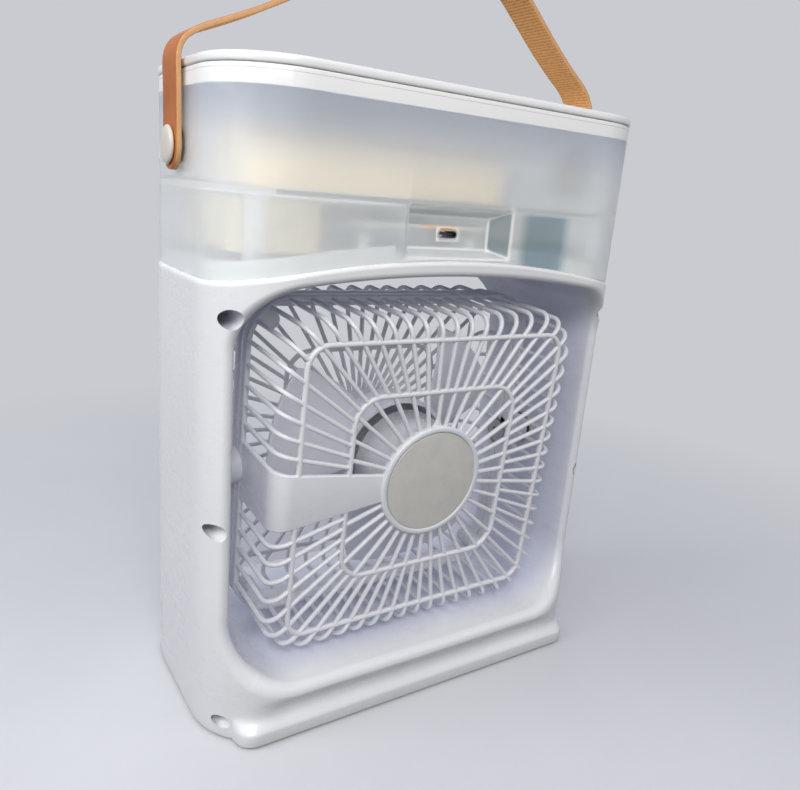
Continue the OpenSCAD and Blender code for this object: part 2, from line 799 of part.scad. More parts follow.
// Box on the tank's floor that keeps the discs and wicks
module mist_housing() {
    z0 = floor_z + 0.05;
    y1 = mist_y0 + mist_depth;
    color("ivory") difference() {
        union() {
            difference() {
                translate([-mist_w / 2, mist_y0, z0]) cube([mist_w, mist_depth, mist_h]);
                translate([-mist_w / 2 + mist_wall, mist_y0 + mist_wall, z0 - 1])
                    cube([mist_w - 2 * mist_wall, mist_depth - 2 * mist_wall, mist_h + 1 - mist_wall]);
            }
            for (x = mist_places) {
                rod_y([x, mist_y0 + 1, mist_z], 5.6, mist_depth - 10);
                translate([x - 1, mist_y0 + 1, mist_z + 3]) cube([2, mist_depth - 10, mist_h - 15]);
            }
        }
        for (x = mist_places) {
            rod_y([x, mist_y0 - 1, mist_z], wick_r + 0.2, mist_depth - 5);
            rod_y([x, mist_y0 - 1, mist_z], 6.5, 1 + mist_wall + 1.6);
            translate([x - 4, mist_y0 + 12, z0 - 1]) cube([8, mist_depth, 4]);
        }
        for (x = [-mist_pitch, mist_pitch]) rod_y([x, y1 - 4, mist_z + 1.5], 2.8, 8);
    }
}

module mist_discs() {
    color("silver") for (x = mist_places) rod_y([x, mist_y0 + 1.5, mist_z], 6.2, 0.6);
}

module disc_seals() {
    color("lightgray") for (x = mist_places)
        difference() {
            rod_y([x, mist_y0 + 0.1, mist_z], 6.3, 1.35);
            rod_y([x, mist_y0 - 1, mist_z], 3.6, 4);
        }
}

module nozzle_rings() {
    y0 = -tank_d / 2;
    color("white") for (x = mist_places)
        difference() {
            union() {
                rod_y([x, y0 - 1.6, mist_z], nozzle_r + 2.2, 1.5);
                rod_y([x, y0 - 1.6, mist_z], nozzle_r, mist_y0 - y0 + 1.5);
            }
            rod_y([x, y0 - 3, mist_z], nozzle_r - 1.2, 8);
        }
}

module wicks() {
    color("linen") for (x = mist_places) rod_y([x, mist_y0 + 2.2, mist_z], wick_r, wick_l);
}

// ---- top ----

// Rod on the lid's hinge line, from x0 to x1 on side s
module hinge_rod(s, r, x0, x1) {
    rod_x([s > 0 ? x0 : -x1, hinge_y, hinge_z], r, x1 - x0);
}

module top_cover() {
    w = tank_w + 0.8;
    d = tank_d + 0.8;
    sw = skirt_in_w - 0.5;
    sd = skirt_in_d - 0.5;
    sr = skirt_in_r - 0.25;
    t = 1.8;
    color("white") difference() {
        union() {
            slab(w, d, tank_r + 0.4, cover_z0, cover_top);
            difference() {
                slab(sw, sd, sr, tank_top - cover_skirt, cover_z0 + 1);
                slab(sw - 2 * t, sd - 2 * t, sr - t, tank_top - cover_skirt - 1, cover_z0 + eps);
            }
            for (s = [-1, 1], k = knuckles) hinge_rod(s, knuckle_r, k[0], k[1]);
        }
        translate([0, lid_y, 0]) slab(lid_w + 2 * fit, lid_d + 2 * fit, 6.3, lid_seat_z, cover_top + 5);
        translate([0, lid_y, 0]) slab(plug_w + 1, plug_d + 1, 5, cover_z0 - 10, cover_top + 5);
        for (s = [-1, 1]) {
            translate([s > 0 ? lid_knuckle[0] - fit : -lid_knuckle[1] - fit, hinge_y - 4, cover_z0 - 1])
                cube([lid_knuckle[1] - lid_knuckle[0] + 2 * fit, 4 + knuckle_r + 0.5, 12]);
            hinge_rod(s, hinge_pin_r + 0.02, knuckles[0][0] - 1, knuckles[1][1] + 1);
        }
    }
}

module fill_lid() {
    z0 = cover_top - lid_t;
    pt = 1.5;
    color("whitesmoke") difference() {
        union() {
            translate([0, lid_y, 0]) slab(lid_w, lid_d, 6, z0, cover_top);
            translate([0, lid_y, 0]) difference() {
                slab(plug_w, plug_d, 4.5, z0 - plug_h, z0 + eps);
                slab(plug_w - 2 * pt, plug_d - 2 * pt, 3, z0 - plug_h - 1, z0);
            }
            for (s = [-1, 1]) {
                hinge_rod(s, knuckle_r, lid_knuckle[0], lid_knuckle[1]);
                translate([s > 0 ? lid_knuckle[0] : -lid_knuckle[1], hinge_y - 3, z0])
                    cube([lid_knuckle[1] - lid_knuckle[0], 3, lid_t]);
            }
        }
        for (s = [-1, 1]) hinge_rod(s, hinge_pin_r + run, knuckles[0][0], knuckles[1][1] + 4);
        for (s = [-1, 1], k = knuckles) hinge_rod(s, knuckle_r + fit, k[0] - fit, k[1] + fit);
    }
}

module lid_gasket() {
    z1 = cover_top - lid_t;
    color("lightgray") translate([0, lid_y, 0]) difference() {
        slab(plug_w + 6, plug_d + 5, 6, lid_seat_z + 0.25, z1);
        slab(plug_w + 0.1, plug_d + 0.1, 4.55, lid_seat_z - 1, z1 + 1);
    }
}

module hinge_pins() {
    color("silver") for (s = [-1, 1]) hinge_rod(s, hinge_pin_r, knuckles[0][0] + 0.2, knuckles[1][1] - 0.2);
}

// ---- strap ----

// Part of a ring between two radii, over the angles a0 to a1 from the +X direction, at most 90 degrees
module sector(r0, r1, a0, a1) {
    far = 2 * r1;
    intersection() {
        difference() {
            circle(r1, $fn = 180);
            circle(r0, $fn = 180);
        }
        polygon(concat([[0, 0]], [for (a = [a0, (a0 + a1) / 2, a1]) far * [cos(a), sin(a)]]));
    }
}

// Side of one half of the strap in X and Z: upright, bend, sloping stretch and its part of the top arc,
// whose centre lies top_x along
module strap_half(slope, top_x) {
    t = strap_t / 2;
    turn = 90 - slope;
    bx = strap_x - strap_bend_r;
    x2 = bx + strap_bend_r * cos(turn);
    z2 = strap_bend_z + strap_bend_r * sin(turn);
    run_l = (x2 - top_x - strap_arc_r * sin(slope)) / cos(slope);
    translate([strap_in, rivet_z]) square([strap_t, strap_bend_z - rivet_z]);
    translate([bx, strap_bend_z]) sector(strap_bend_r - t, strap_bend_r + t, 0, turn);
    translate([x2, z2]) rotate(180 - slope) translate([-eps, -t]) square([run_l + 2 * eps, strap_t]);
    translate([top_x, strap_top_z]) sector(strap_arc_r - t, strap_arc_r + t, 90 - slope, 90);
}

module strap() {
    color("peru") difference() {
        union() {
            along_y(-strap_w / 2, strap_w / 2) {
                strap_half(strap_slope, strap_top_x);
                mirror([1, 0]) strap_half(strap_slope_far, -strap_top_x);
            }
            for (x = [strap_in, -strap_in - strap_t]) rod_x([x, 0, rivet_z], strap_w / 2, strap_t);
        }
        rod_x([-body_w, 0, rivet_z], rivet_r + 0.08, 2 * body_w);
    }
}

module rivet_caps() {
    r = rivet_d / 2;
    color("gainsboro") for (s = [-1, 1])
        translate([s * cap_x, 0, rivet_z]) rotate([0, s * 90, 0])
            rotate_extrude() polygon([
                [0, 0], [r, 0], [r, 0.6], [r - 0.5, 1.1], [r - 1.6, 1.5], [r - 3.4, 1.72], [0, cap_t]]);
}

module rivet_posts() {
    x0 = skirt_in_w / 2 - 1.8;
    color("silver") for (s = [-1, 1]) rod_x([s > 0 ? x0 : -cap_x, 0, rivet_z], rivet_r, cap_x - x0);
}

module rivet_washers() {
    x0 = skirt_in_w / 2 - 1.2;
    color("silver") for (s = [-1, 1]) tube_x([s > 0 ? x0 : -x0 - 1.2, 0, rivet_z], 5.5, rivet_r + 0.05, 1.2);
}

// ---- fan head ----

// Places what is drawn with +Z along the fan's axis, towards the rear, and -Y up
module head_frame() {
    translate([0, 0, pivot_z]) rotate([-tilt, 0, 0]) rotate([-90, 0, 0]) children();
}

// Distance from the middle to a rounded square, in a direction u
function fold(u) = abs(u - 90 * round(u / 90));
function square_reach(h, c, u) =
    let (f = fold(u), m = h - c, k = m * (cos(f) + sin(f)))
    h * tan(f) <= m ? h / cos(f) : k + sqrt(k * k - 2 * m * m + c * c);

// Ring that follows a rounded square
module square_ring(h, c, w, z0, z1) {
    difference() {
        slab(2 * h, 2 * h, c, z0, z1);
        slab(2 * (h - w), 2 * (h - w), c - w, z0 - 1, z1 + 1);
    }
}

// Side view of a rib: out along the face, round the bend and along the cage's side
function bend_arc(cx, cz, r, a0, a1) =
    [for (k = [0:4]) let (a = a0 + (a1 - a0) * k / 4) [cx + r * cos(a), cz + r * sin(a)]];
function rib_side(r0, r1, face, end, b, t) = concat(
    [[r0, face]], bend_arc(r1 - b, face - b, b, 90, 0), [[r1, end], [r1 - t, end]],
    bend_arc(r1 - b, face - b, b - t, 0, 90), [[r0, face - t]]);

module rib(u, r0, r1, face, end, w) {
    rotate([0, 0, u - 90]) rotate([90, 0, 0]) linear_extrude(w, center = true)
        polygon(rib_side(r0, r1, face, end, cage_bend, rib_t));
}

// Angle of outer rib k: even steps from the middle of each side, drawn slightly towards the corners
function outer_angle(k) = let (u = 360 / outer_ribs * (k + 0.5)) u + 2 * sin(4 * u);
function beside_arm(u, clear) = abs(u - 90) > clear;

module pivot_boss(s) {
    x0 = cage_half - rim_t + 0.7;
    rod_x([s > 0 ? x0 : -boss_x1, 0, 0], boss_r, boss_x1 - x0);
}

module cable_arm() {
    difference() {
        intersection() {
            rotate([90, 0, 0]) linear_extrude(2 * arm_end + 2, center = true)
                polygon(rib_side(hub_r - 2, cage_half + 0.4, cage_back + 0.3, 4, cage_bend, rib_t + 0.2));
            translate([0, 0, -1]) linear_extrude(cage_back + 3)
                polygon([[20, -arm_root], [ring_out, -arm_mid], [cage_half + 2, -arm_end],
                         [cage_half + 2, arm_end], [ring_out, arm_mid], [20, arm_root]]);
        }
        rod_x([20, 0, 0], boss_r - 1, 60);
    }
}

module cage_rear() {
    face = cage_back;
    step = 360 / inner_ribs;
    color("white") head_frame() difference() {
        union() {
            square_ring(ring_out, ring_out_r, ring_w, face - rib_t - ring_proud, face + ring_proud);
            square_ring(ring_in, ring_in_r, ring_w, face - rib_t - ring_proud, face + ring_proud);
            square_ring(cage_half + 0.7, cage_r + 0.7, rim_t, 0.3, rim_h);
            for (k = [0:inner_ribs - 1])
                if (beside_arm(k * step, 11)) rotate([0, 0, k * step - 90])
                    translate([hub_r - 2, -rib_w / 2, face - rib_t])
                        cube([square_reach(ring_in, ring_in_r, k * step) - hub_r + 1, rib_w, rib_t]);
            for (a = [-90, 90])
                rotate([0, 0, a]) translate([0, 0, face - rib_t + 0.1]) linear_extrude(rib_t - 0.2)
                    polygon([[hub_r - 2, -flare], [hub_r + flare, -rib_w / 2],
                             [hub_r + flare, rib_w / 2], [hub_r - 2, flare]]);
            for (k = [0:outer_ribs - 1])
                if (beside_arm(outer_angle(k), 10.4))
                    rib(outer_angle(k), square_reach(ring_in, ring_in_r, outer_angle(k)) - 1,
                        square_reach(cage_half, cage_r, outer_angle(k)), face, rim_h - 1, rib_w);
            cable_arm();
            translate([0, 0, face - rib_t - ring_proud]) cylinder(r = hub_r, h = rib_t + ring_proud + 1.4);
            translate([0, 0, cup_z]) cylinder(r = cup_r, h = face - cup_z - 1);
            for (s = [-1, 1]) pivot_boss(s);
            for (x = [-1, 1], y = [-1, 1])
                translate([x * ear_x, y * ear_x, 0.3]) cylinder(r = ear_r, h = rim_h - 0.3);
        }
        translate([0, 0, face + 0.6]) cylinder(r = disc_r + 0.1, h = 2);
        translate([0, 0, cup_z - 1]) cylinder(r = cup_r - cup_wall, h = face - rib_t - cup_z + 1 + 0.1);
        translate([cup_r - 4, -2, face - 6]) cube([6, 4, 4.1]);
        for (s = [-1, 1]) rod_x([s > 0 ? cage_half - 10 : -boss_x1 - 1, 0, 0], pin_r + 0.02, hole_l);
        for (x = [-1, 1], y = [-1, 1])
            translate([x * ear_x, y * ear_x, -1]) cylinder(r = screw_pilot, h = rim_h);
    }
}

module hub_disc() {
    color("ivory") head_frame() translate([0, 0, cage_back + 0.62]) cylinder(r = disc_r, h = 0.6);
}

module cage_front() {
    face = cage_front_d;
    step = 360 / front_ribs;
    color("white") head_frame() difference() {
        union() {
            mirror([0, 0, 1]) {
                square_ring(cage_half + 0.7, cage_r + 0.7, rim_t, 0, rim_h);
                square_ring(ring_out, ring_out_r, ring_w, face - rib_t - ring_proud, face + ring_proud);
                square_ring(ring_in, ring_in_r, ring_w, face - rib_t - ring_proud, face + ring_proud);
                for (u = [step / 2:step:360])
                    rib(u, front_disc_r - 2, square_reach(cage_half, cage_r, u), face, rim_h - 1, rib_w);
                translate([0, 0, face - rib_t - ring_proud])
                    cylinder(r = front_disc_r, h = rib_t + ring_proud + 1);
            }
            for (x = [-1, 1], y = [-1, 1])
                translate([x * ear_x, y * ear_x, -rim_h]) cylinder(r = ear_r, h = rim_h);
        }
        for (s = [-1, 1]) rod_x([s > 0 ? cage_half - 10 : -boss_x1 - 1, 0, 0], boss_r + 0.3, hole_l);
        for (x = [-1, 1], y = [-1, 1]) translate([x * ear_x, y * ear_x, -cage_front_d]) {
            cylinder(r = screw_hole, h = cage_front_d + 2);
            cylinder(r = head_r + 0.3, h = cage_front_d - 3);
        }
    }
}

module cage_screws() {
    color("silver") head_frame() for (x = [-1, 1], y = [-1, 1])
        translate([x * ear_x, y * ear_x, -3]) mirror([0, 0, 1]) screw(screw_r, 7, head_r, 1.6);
}

module motor_can() {
    color("silver") head_frame() difference() {
        union() {
            translate([0, 0, can_z]) cylinder(r = can_r, h = can_l);
            translate([0, 0, can_z - 1.6]) cylinder(r = 3.2, h = 1.7);
            translate([0, 0, can_z + can_l - eps]) cylinder(r = 3.6, h = 0.5);
        }
        translate([0, 0, -50]) cylinder(r = bearing_r + 0.05, h = can_z + can_l + 49);
        for (s = [-1, 1]) translate([s * motor_screw_x, 0, can_z - 1]) cylinder(r = 1, h = 4);
    }
}

// Disc that closes the cup and carries the motor
module motor_plate() {
    color("white") head_frame() difference() {
        translate([0, 0, plate_z]) cylinder(r = cup_r - cup_wall - 0.05, h = plate_t);
        cylinder(r = 3.3, h = 50);
        for (s = [-1, 1]) translate([s * motor_screw_x, 0, 0]) cylinder(r = 1.3, h = 50);
    }
}

module motor_screws() {
    color("silver") head_frame() for (s = [-1, 1])
        translate([s * motor_screw_x, 0, plate_z])
            mirror([0, 0, 1]) screw(small_screw_r, plate_t + 3, small_head_r, 1.2);
}

module motor_bearings() {
    color("darkgoldenrod") head_frame() for (z = [can_z - 1.6, can_z + can_l - bearing_l - 1])
        translate([0, 0, z]) difference() {
            cylinder(r = bearing_r, h = bearing_l);
            translate([0, 0, -1]) cylinder(r = shaft_r + 0.04, h = bearing_l + 2);
        }
}

module motor_shaft() {
    color("silver") head_frame() translate([0, 0, spinner_z0 - shaft_out])
        cylinder(r = shaft_r, h = can_z + can_l - 1.2 - spinner_z0 + shaft_out);
}

// One blade: a curved plate from root to tip, pitched over its whole angle
blade_rows = 6;
blade_cols = 8;
function blade_r(i) = blade_root_r + (tip_r - blade_root_r) * i / blade_rows;
function blade_a(i, j) =
    let (out = i / blade_rows)
    blade_start + blade_sweep * pow(out, 1.3) + blade_span * (1 - 0.06 * out) * j / blade_cols;
function blade_point(i, j, side) =
    let (r = blade_r(i), u = blade_a(i, j), q = j / blade_cols,
         edge = 0.35 + 0.65 * sqrt(max(0, 1 - pow(2 * q - 1, 4))),
         z = blade_mid + (q - 0.5) * blade_rise * (1 - 0.25 * i / blade_rows) + side * blade_t / 2 * edge)
    [r * sin(u), -r * cos(u), z];
module blade() {
    n = blade_cols + 1;
    m = (blade_rows + 1) * n;
    at = function(i, j, s) s * m + i * n + j;
    polyhedron(
        points = [for (s = [0, 1], i = [0:blade_rows], j = [0:blade_cols]) blade_point(i, j, 1 - 2 * s)],
        faces = concat(
            [for (i = [0:blade_rows - 1], j = [0:blade_cols - 1]) each
                [[at(i, j, 0), at(i, j + 1, 0), at(i + 1, j, 0)],
                 [at(i + 1, j, 0), at(i, j + 1, 0), at(i + 1, j + 1, 0)],
                 [at(i, j, 1), at(i + 1, j, 1), at(i, j + 1, 1)],
                 [at(i + 1, j, 1), at(i + 1, j + 1, 1), at(i, j + 1, 1)]]],
            [for (j = [0:blade_cols - 1]) each
                [[at(0, j, 0), at(0, j, 1), at(0, j + 1, 0)], [at(0, j, 1), at(0, j + 1, 1), at(0, j + 1, 0)],
                 [at(blade_rows, j, 0), at(blade_rows, j + 1, 0), at(blade_rows, j, 1)],
                 [at(blade_rows, j, 1), at(blade_rows, j + 1, 0), at(blade_rows, j + 1, 1)]]],
            [for (i = [0:blade_rows - 1]) each
                [[at(i, 0, 0), at(i + 1, 0, 0), at(i, 0, 1)], [at(i, 0, 1), at(i + 1, 0, 0), at(i + 1, 0, 1)],
                 [at(i, blade_cols, 0), at(i, blade_cols, 1), at(i + 1, blade_cols, 0)],
                 [at(i, blade_cols, 1), at(i + 1, blade_cols, 1), at(i + 1, blade_cols, 0)]]]));
}

module impeller() {
    color("lavender") head_frame() difference() {
        union() {
            difference() {
                translate([0, 0, spinner_z0]) cylinder(r = spinner_r, h = spinner_z1 - spinner_z0);
                translate([0, 0, spinner_z0 + spinner_wall])
                    cylinder(r = spinner_r - spinner_wall, h = spinner_z1 - spinner_z0);
            }
            translate([0, 0, spinner_z0]) cylinder(r = 4, h = 9);
            for (k = [0:blades - 1]) rotate([0, 0, 360 / blades * k]) blade();
        }
        translate([0, 0, spinner_z0 - 1]) cylinder(r = shaft_r + 0.01, h = 30);
    }
}

module impeller_nut() {
    color("silver") head_frame() translate([0, 0, spinner_z0 - 2.6]) difference() {
        cylinder(r = 3, h = 2.5, $fn = 6);
        translate([0, 0, -1]) cylinder(r = shaft_r + 0.02, h = 5);
    }
}

// ---- tilt bearing ----

module pivot_pins() {
    x0 = cage_half - rim_t - 1;
    x1 = open_w / 2 + 2.4;
    color("silver") head_frame() for (s = [-1, 1]) {
        difference() {
            union() {
                rod_x([s > 0 ? x0 : -x1, 0, 0], pin_r, x1 - x0);
                rod_x([s > 0 ? x0 : -x0 - 1.6, 0, 0], pin_head_r, 1.6);
            }
            rod_x([s > 0 ? x0 - 1 : -x1 - 1, 0, 0], pin_bore, x1 - x0 + 2);
        }
    }
}

module pivot_bushes() {
    x0 = open_w / 2 - 1.4;
    color("ivory") for (s = [-1, 1])
        difference() {
            union() {
                rod_x([s > 0 ? x0 : -bush_x1, 0, pivot_z], bush_r, bush_x1 - x0);
                rod_x([s > 0 ? x0 : -x0 - 1.3, 0, pivot_z], bush_flange_r, 1.3);
            }
            rod_x([-body_w, 0, pivot_z], pin_r + run, 2 * body_w);
        }
}

module pivot_washers() {
    color("dimgray") head_frame() for (s = [-1, 1])
        tube_x([s > 0 ? boss_x1 + 0.05 : -boss_x1 - 1.85, 0, 0], boss_r - 0.5, pin_r + 0.05, 1.8);
}

// ---- leads ----

module motor_lead() { color("dimgray") head_frame() wire(motor_lead_path, lead_r, [0, 1, 0]); }
module housing_lead() { color("dimgray") wire(housing_lead_path, lead_r, [0.3, 0.9, -0.3]); }
module button_lead() { color("dimgray") wire(button_lead_path, lead_r, [0.3, 0.9, 0.35]); }

// ---- controls ----

module button_board() {
    color("darkseagreen") translate([-keypad_w / 2, keypad_y, foot_h + 3.2])
        cube([keypad_w, keypad_t, button_z - foot_h + 0.4]);
}

module tact_switches() {
    color("black") for (x = button_places) {
        translate([x - 3, keypad_y - switch_h, button_z - 3]) cube([6, switch_h, 6]);
        rod_y([x, keypad_y - switch_h - plunger_h, button_z], 1.7, plunger_h + eps);
    }
}

module button(x) {
    inner = wall - half_d;
    stem = keypad_y - switch_h - plunger_h - stem_gap;
    along_y(-half_d - button_proud, inner + fit + 0.5)
        translate([x, button_z]) rounded(button_w, button_h, button_h / 2 - eps);
    along_y(inner + fit, inner + fit + 1)
        translate([x, button_z]) rounded(button_w + 2, button_h + 2, button_h / 2);
    rod_y([x, inner + fit, button_z], 2, stem - inner - fit);
}

module power_button() { color("white") button(-button_pitch); }
module mist_button() { color("white") button(0); }
module light_button() { color("white") button(button_pitch); }

rear_shell();
front_shell();
base_plate();
base_screws();
rubber_feet();
shell_screws();
deck_tray();
deck_screws();
main_board();
board_parts();
board_screws();
usb_socket();
usb_tongue();
port_gasket();
battery_pack();
mist_board();
mist_coils();
light_board();
light_leds();
tank();
mist_housing();
mist_discs();
disc_seals();
nozzle_rings();
wicks();
top_cover();
fill_lid();
lid_gasket();
hinge_pins();
strap();
rivet_caps();
rivet_posts();
rivet_washers();
cage_rear();
hub_disc();
cage_front();
cage_screws();
motor_can();
motor_plate();
motor_screws();
motor_bearings();
motor_shaft();
impeller();
impeller_nut();
pivot_pins();
pivot_bushes();
pivot_washers();
motor_lead();
housing_lead();
button_lead();
button_board();
tact_switches();
power_button();
mist_button();
light_button();
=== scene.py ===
import json
import math

import bmesh
import bpy
import numpy as np
from mathutils import Matrix, Vector


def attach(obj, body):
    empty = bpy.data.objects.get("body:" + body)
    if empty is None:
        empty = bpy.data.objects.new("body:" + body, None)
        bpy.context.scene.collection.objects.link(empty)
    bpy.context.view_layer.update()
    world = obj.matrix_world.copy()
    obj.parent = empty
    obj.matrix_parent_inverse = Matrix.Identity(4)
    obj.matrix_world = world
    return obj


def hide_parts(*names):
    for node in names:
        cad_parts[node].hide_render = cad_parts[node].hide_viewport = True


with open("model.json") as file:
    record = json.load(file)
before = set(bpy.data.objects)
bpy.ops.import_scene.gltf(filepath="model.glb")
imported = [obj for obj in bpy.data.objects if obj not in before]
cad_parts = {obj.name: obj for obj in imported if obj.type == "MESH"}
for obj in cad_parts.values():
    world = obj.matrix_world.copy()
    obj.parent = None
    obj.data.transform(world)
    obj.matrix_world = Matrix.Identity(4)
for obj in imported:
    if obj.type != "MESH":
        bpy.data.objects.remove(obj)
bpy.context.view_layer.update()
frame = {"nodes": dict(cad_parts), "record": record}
nodes = frame["nodes"]
print("frame loaded")

# Lengths in the tables below are millimetres, as in the part, and meshes are written in metres.
mm = 0.001
body = {"halfW": 97.5, "halfD": 51.0, "corner": 30.0, "joint": 192.2, "jointR": 431.0, "low": 0.8,
        "bulge": 0.4}
gap = {"halfW": 88.0, "floor": 22.5, "ceiling": 186.5, "ceilingR": 500.0, "topR": 25.0, "lowR": 28.0}
head = {"pivot": 100.5, "lean": math.radians(4)}
pocket = {"back": 41.0, "mouth": 50.3, "x": (-15.6, 23.8), "slopeX": (-0.521, 0.521), "z": (196.0, 208.8),
          "slopeZ": (-0.255, 0.383), "port": (4.1, 201.8, 10.0, 4.6)}


# sRGB hex to linear: under 0.04045 divide by 12.92, above it ((c + 0.055) / 1.055) to the power 2.4
def linear(code):
    c = np.array([int(code[i:i + 2], 16) for i in (1, 3, 5)]) / 255
    c = np.where(c <= 0.04045, c / 12.92, ((c + 0.055) / 1.055) ** 2.4)
    return (*c.tolist(), 1.0)


# Adds a node and gives one of its outputs. Values go to its inputs in order, a named value to the setting or
# the input of that name; a socket is linked and a hex colour turned to linear
def addNode(kind, *values, tree=None, out=None, **named):
    sockets = [value for value in (*values, *named.values()) if isinstance(value, bpy.types.NodeSocket)]
    tree = tree or sockets[0].id_data
    node = tree.nodes.new("ShaderNode" + kind)
    for key in [key for key in named if hasattr(node, key)]:
        setattr(node, key, named.pop(key))
    pairs = list(zip([socket for socket in node.inputs if socket.enabled], values))
    for socket, value in pairs + [(node.inputs[key], value) for key, value in named.items()]:
        if isinstance(value, bpy.types.NodeSocket):
            tree.links.new(value, socket)
        else:
            socket.default_value = linear(value) if isinstance(value, str) else value
    return node.outputs[out] if out else next((socket for socket in node.outputs if socket.enabled), None)


# Quads between neighbours of a rows x cols grid of points; a wrap joins the last to the first
def gridQuads(rows, cols, wrapRows=False, wrapCols=False):
    i = np.arange(rows if wrapRows else rows - 1)[:, None]
    j = np.arange(cols if wrapCols else cols - 1)[None, :]
    i2, j2 = (i + 1) % rows, (j + 1) % cols
    quads = [i * cols + j, i * cols + j2, i2 * cols + j2, i2 * cols + j]
    return np.stack(quads, -1).reshape(-1, 4)


# Joins several (points, faces) into one pair, shifting each one's face numbers by the points before it
def joined(parts):
    points, faces, start = [], [], 0
    for p, groups in parts:
        p = np.asarray(p, float).reshape(-1, 3)
        points.append(p)
        faces += [np.asarray(g) + start for g in groups]
        start += len(p)
    return np.vstack(points), faces


def smooth(mesh, sharp=32.0):
    mesh.polygons.foreach_set("use_smooth", np.ones(len(mesh.polygons), bool))
    mesh.set_sharp_from_angle(angle=math.radians(sharp))


# Mesh object from points in millimetres and groups of faces; doubles are merged and faces turned outwards
def meshPiece(name, part, material=None, sharp=32.0, merge=0.0004, outward=True):
    points, faces = part
    mesh = bpy.data.meshes.new(name)
    mesh.from_pydata((np.asarray(points) * mm).tolist(), [],
                     [face for group in faces for face in group.tolist()])
    mesh.validate()
    if outward:
        work = bmesh.new()
        work.from_mesh(mesh)
        bmesh.ops.remove_doubles(work, verts=work.verts, dist=merge * mm)
        bmesh.ops.recalc_face_normals(work, faces=work.faces)
        work.to_mesh(mesh)
        work.free()
    smooth(mesh, sharp)
    if material:
        mesh.materials.append(material)
    piece = bpy.data.objects.new(name, mesh)
    bpy.context.scene.collection.objects.link(piece)
    return piece


# Takes parts away from the piece, or adds them, and bakes the result; a part is an object or (points, faces)
def combine(piece, parts, operation="DIFFERENCE"):
    cutters = [meshPiece("cutter", part) if isinstance(part, tuple) else part for part in parts]
    for cutter in cutters:
        mod = piece.modifiers.new("cut", "BOOLEAN")
        mod.operation, mod.solver, mod.object = operation, "EXACT", cutter
    bpy.context.view_layer.update()
    piece.data = bpy.data.meshes.new_from_object(piece.evaluated_get(bpy.context.evaluated_depsgraph_get()))
    piece.modifiers.clear()
    smooth(piece.data)
    for cutter in cutters:
        bpy.data.objects.remove(cutter)


# A finished piece stands for its CAD nodes, which it hides, and rides on their body
def settle(piece, bodyName, slotName, *stood):
    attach(piece, bodyName)
    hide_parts(*stood)


# Solid turned about an axis through the origin given, from a profile of (radius, height along the axis)
def lathe(profile, origin=(0, 0, 0), axis=(0, 0, 1), segments=72):
    profile = np.asarray(profile, float)
    axis = np.asarray(axis, float) / np.linalg.norm(axis)
    side = np.cross(axis, [0.31, 0.57, 0.76])
    side /= np.linalg.norm(side)
    other = np.cross(axis, side)
    turn = np.linspace(0, 2 * math.pi, segments, endpoint=False)
    ring = np.cos(turn)[:, None] * side + np.sin(turn)[:, None] * other
    points = np.asarray(origin) + profile[:, 0, None, None] * ring[None] + profile[:, 1, None, None] * axis
    return points.reshape(-1, 3), [gridQuads(len(profile), segments, wrapCols=True)]


# Corner of a profile as an arc about a centre, from one angle to another in degrees
def arc(cx, cy, r, a0, a1, steps):
    a = np.radians(np.linspace(a0, a1, steps + 1))
    return np.stack([cx + r * np.cos(a), cy + r * np.sin(a)], -1)


# Round-cornered section: four arcs about the corners of a rectangle, width along x and height along y
def roundSection(width, height, r, steps):
    w, h = width / 2 - r, height / 2 - r
    corners = [(w, h, 0), (-w, h, 90), (-w, -h, 180), (w, -h, 270)]
    return np.vstack([arc(cx, cy, r, a, a + 90, steps) for cx, cy, a in corners])


# Bar swept along a path: the section's x lies along side, its y along side x heading; grow sets its half
# width row by row
def bar(path, side, section, closed=False, grow=None):
    path, side = np.asarray(path, float), np.asarray(side, float)
    ahead = np.roll(path, -1, 0) - np.roll(path, 1, 0)
    if not closed:
        ahead[0], ahead[-1] = path[1] - path[0], path[-1] - path[-2]
    ahead /= np.linalg.norm(ahead, axis=1, keepdims=True)
    side = np.broadcast_to(side, path.shape)
    side = side - (side * ahead).sum(1, keepdims=True) * ahead
    side = side / np.linalg.norm(side, axis=1, keepdims=True)
    lift = np.cross(side, ahead)
    x, y = section[:, 0][None, :, None], section[:, 1][None, :, None]
    if grow is not None:
        edge = np.maximum(np.abs(section[:, 0]).max(), 1e-9)
        grow = np.asarray(grow)[:, None, None]
        x = np.where(grow < edge, x * grow / edge, x + np.sign(x) * (grow - edge) * (np.abs(x) > 1e-9))
    points = path[:, None] + x * side[:, None] + y * lift[:, None]
    n, m = len(path), len(section)
    faces = [gridQuads(n, m, wrapRows=closed, wrapCols=True)]
    if not closed:
        faces += [np.arange(m)[None, ::-1], (n - 1) * m + np.arange(m)[None]]
    return points.reshape(-1, 3), faces


# Closed solid through a row of rings of equal count
def loft(rings):
    rings = np.asarray(rings, float)
    n, m = rings.shape[:2]
    ends = [np.arange(m)[None, ::-1], (n - 1) * m + np.arange(m)[None]]
    return rings.reshape(-1, 3), [gridQuads(n, m, wrapCols=True)] + ends


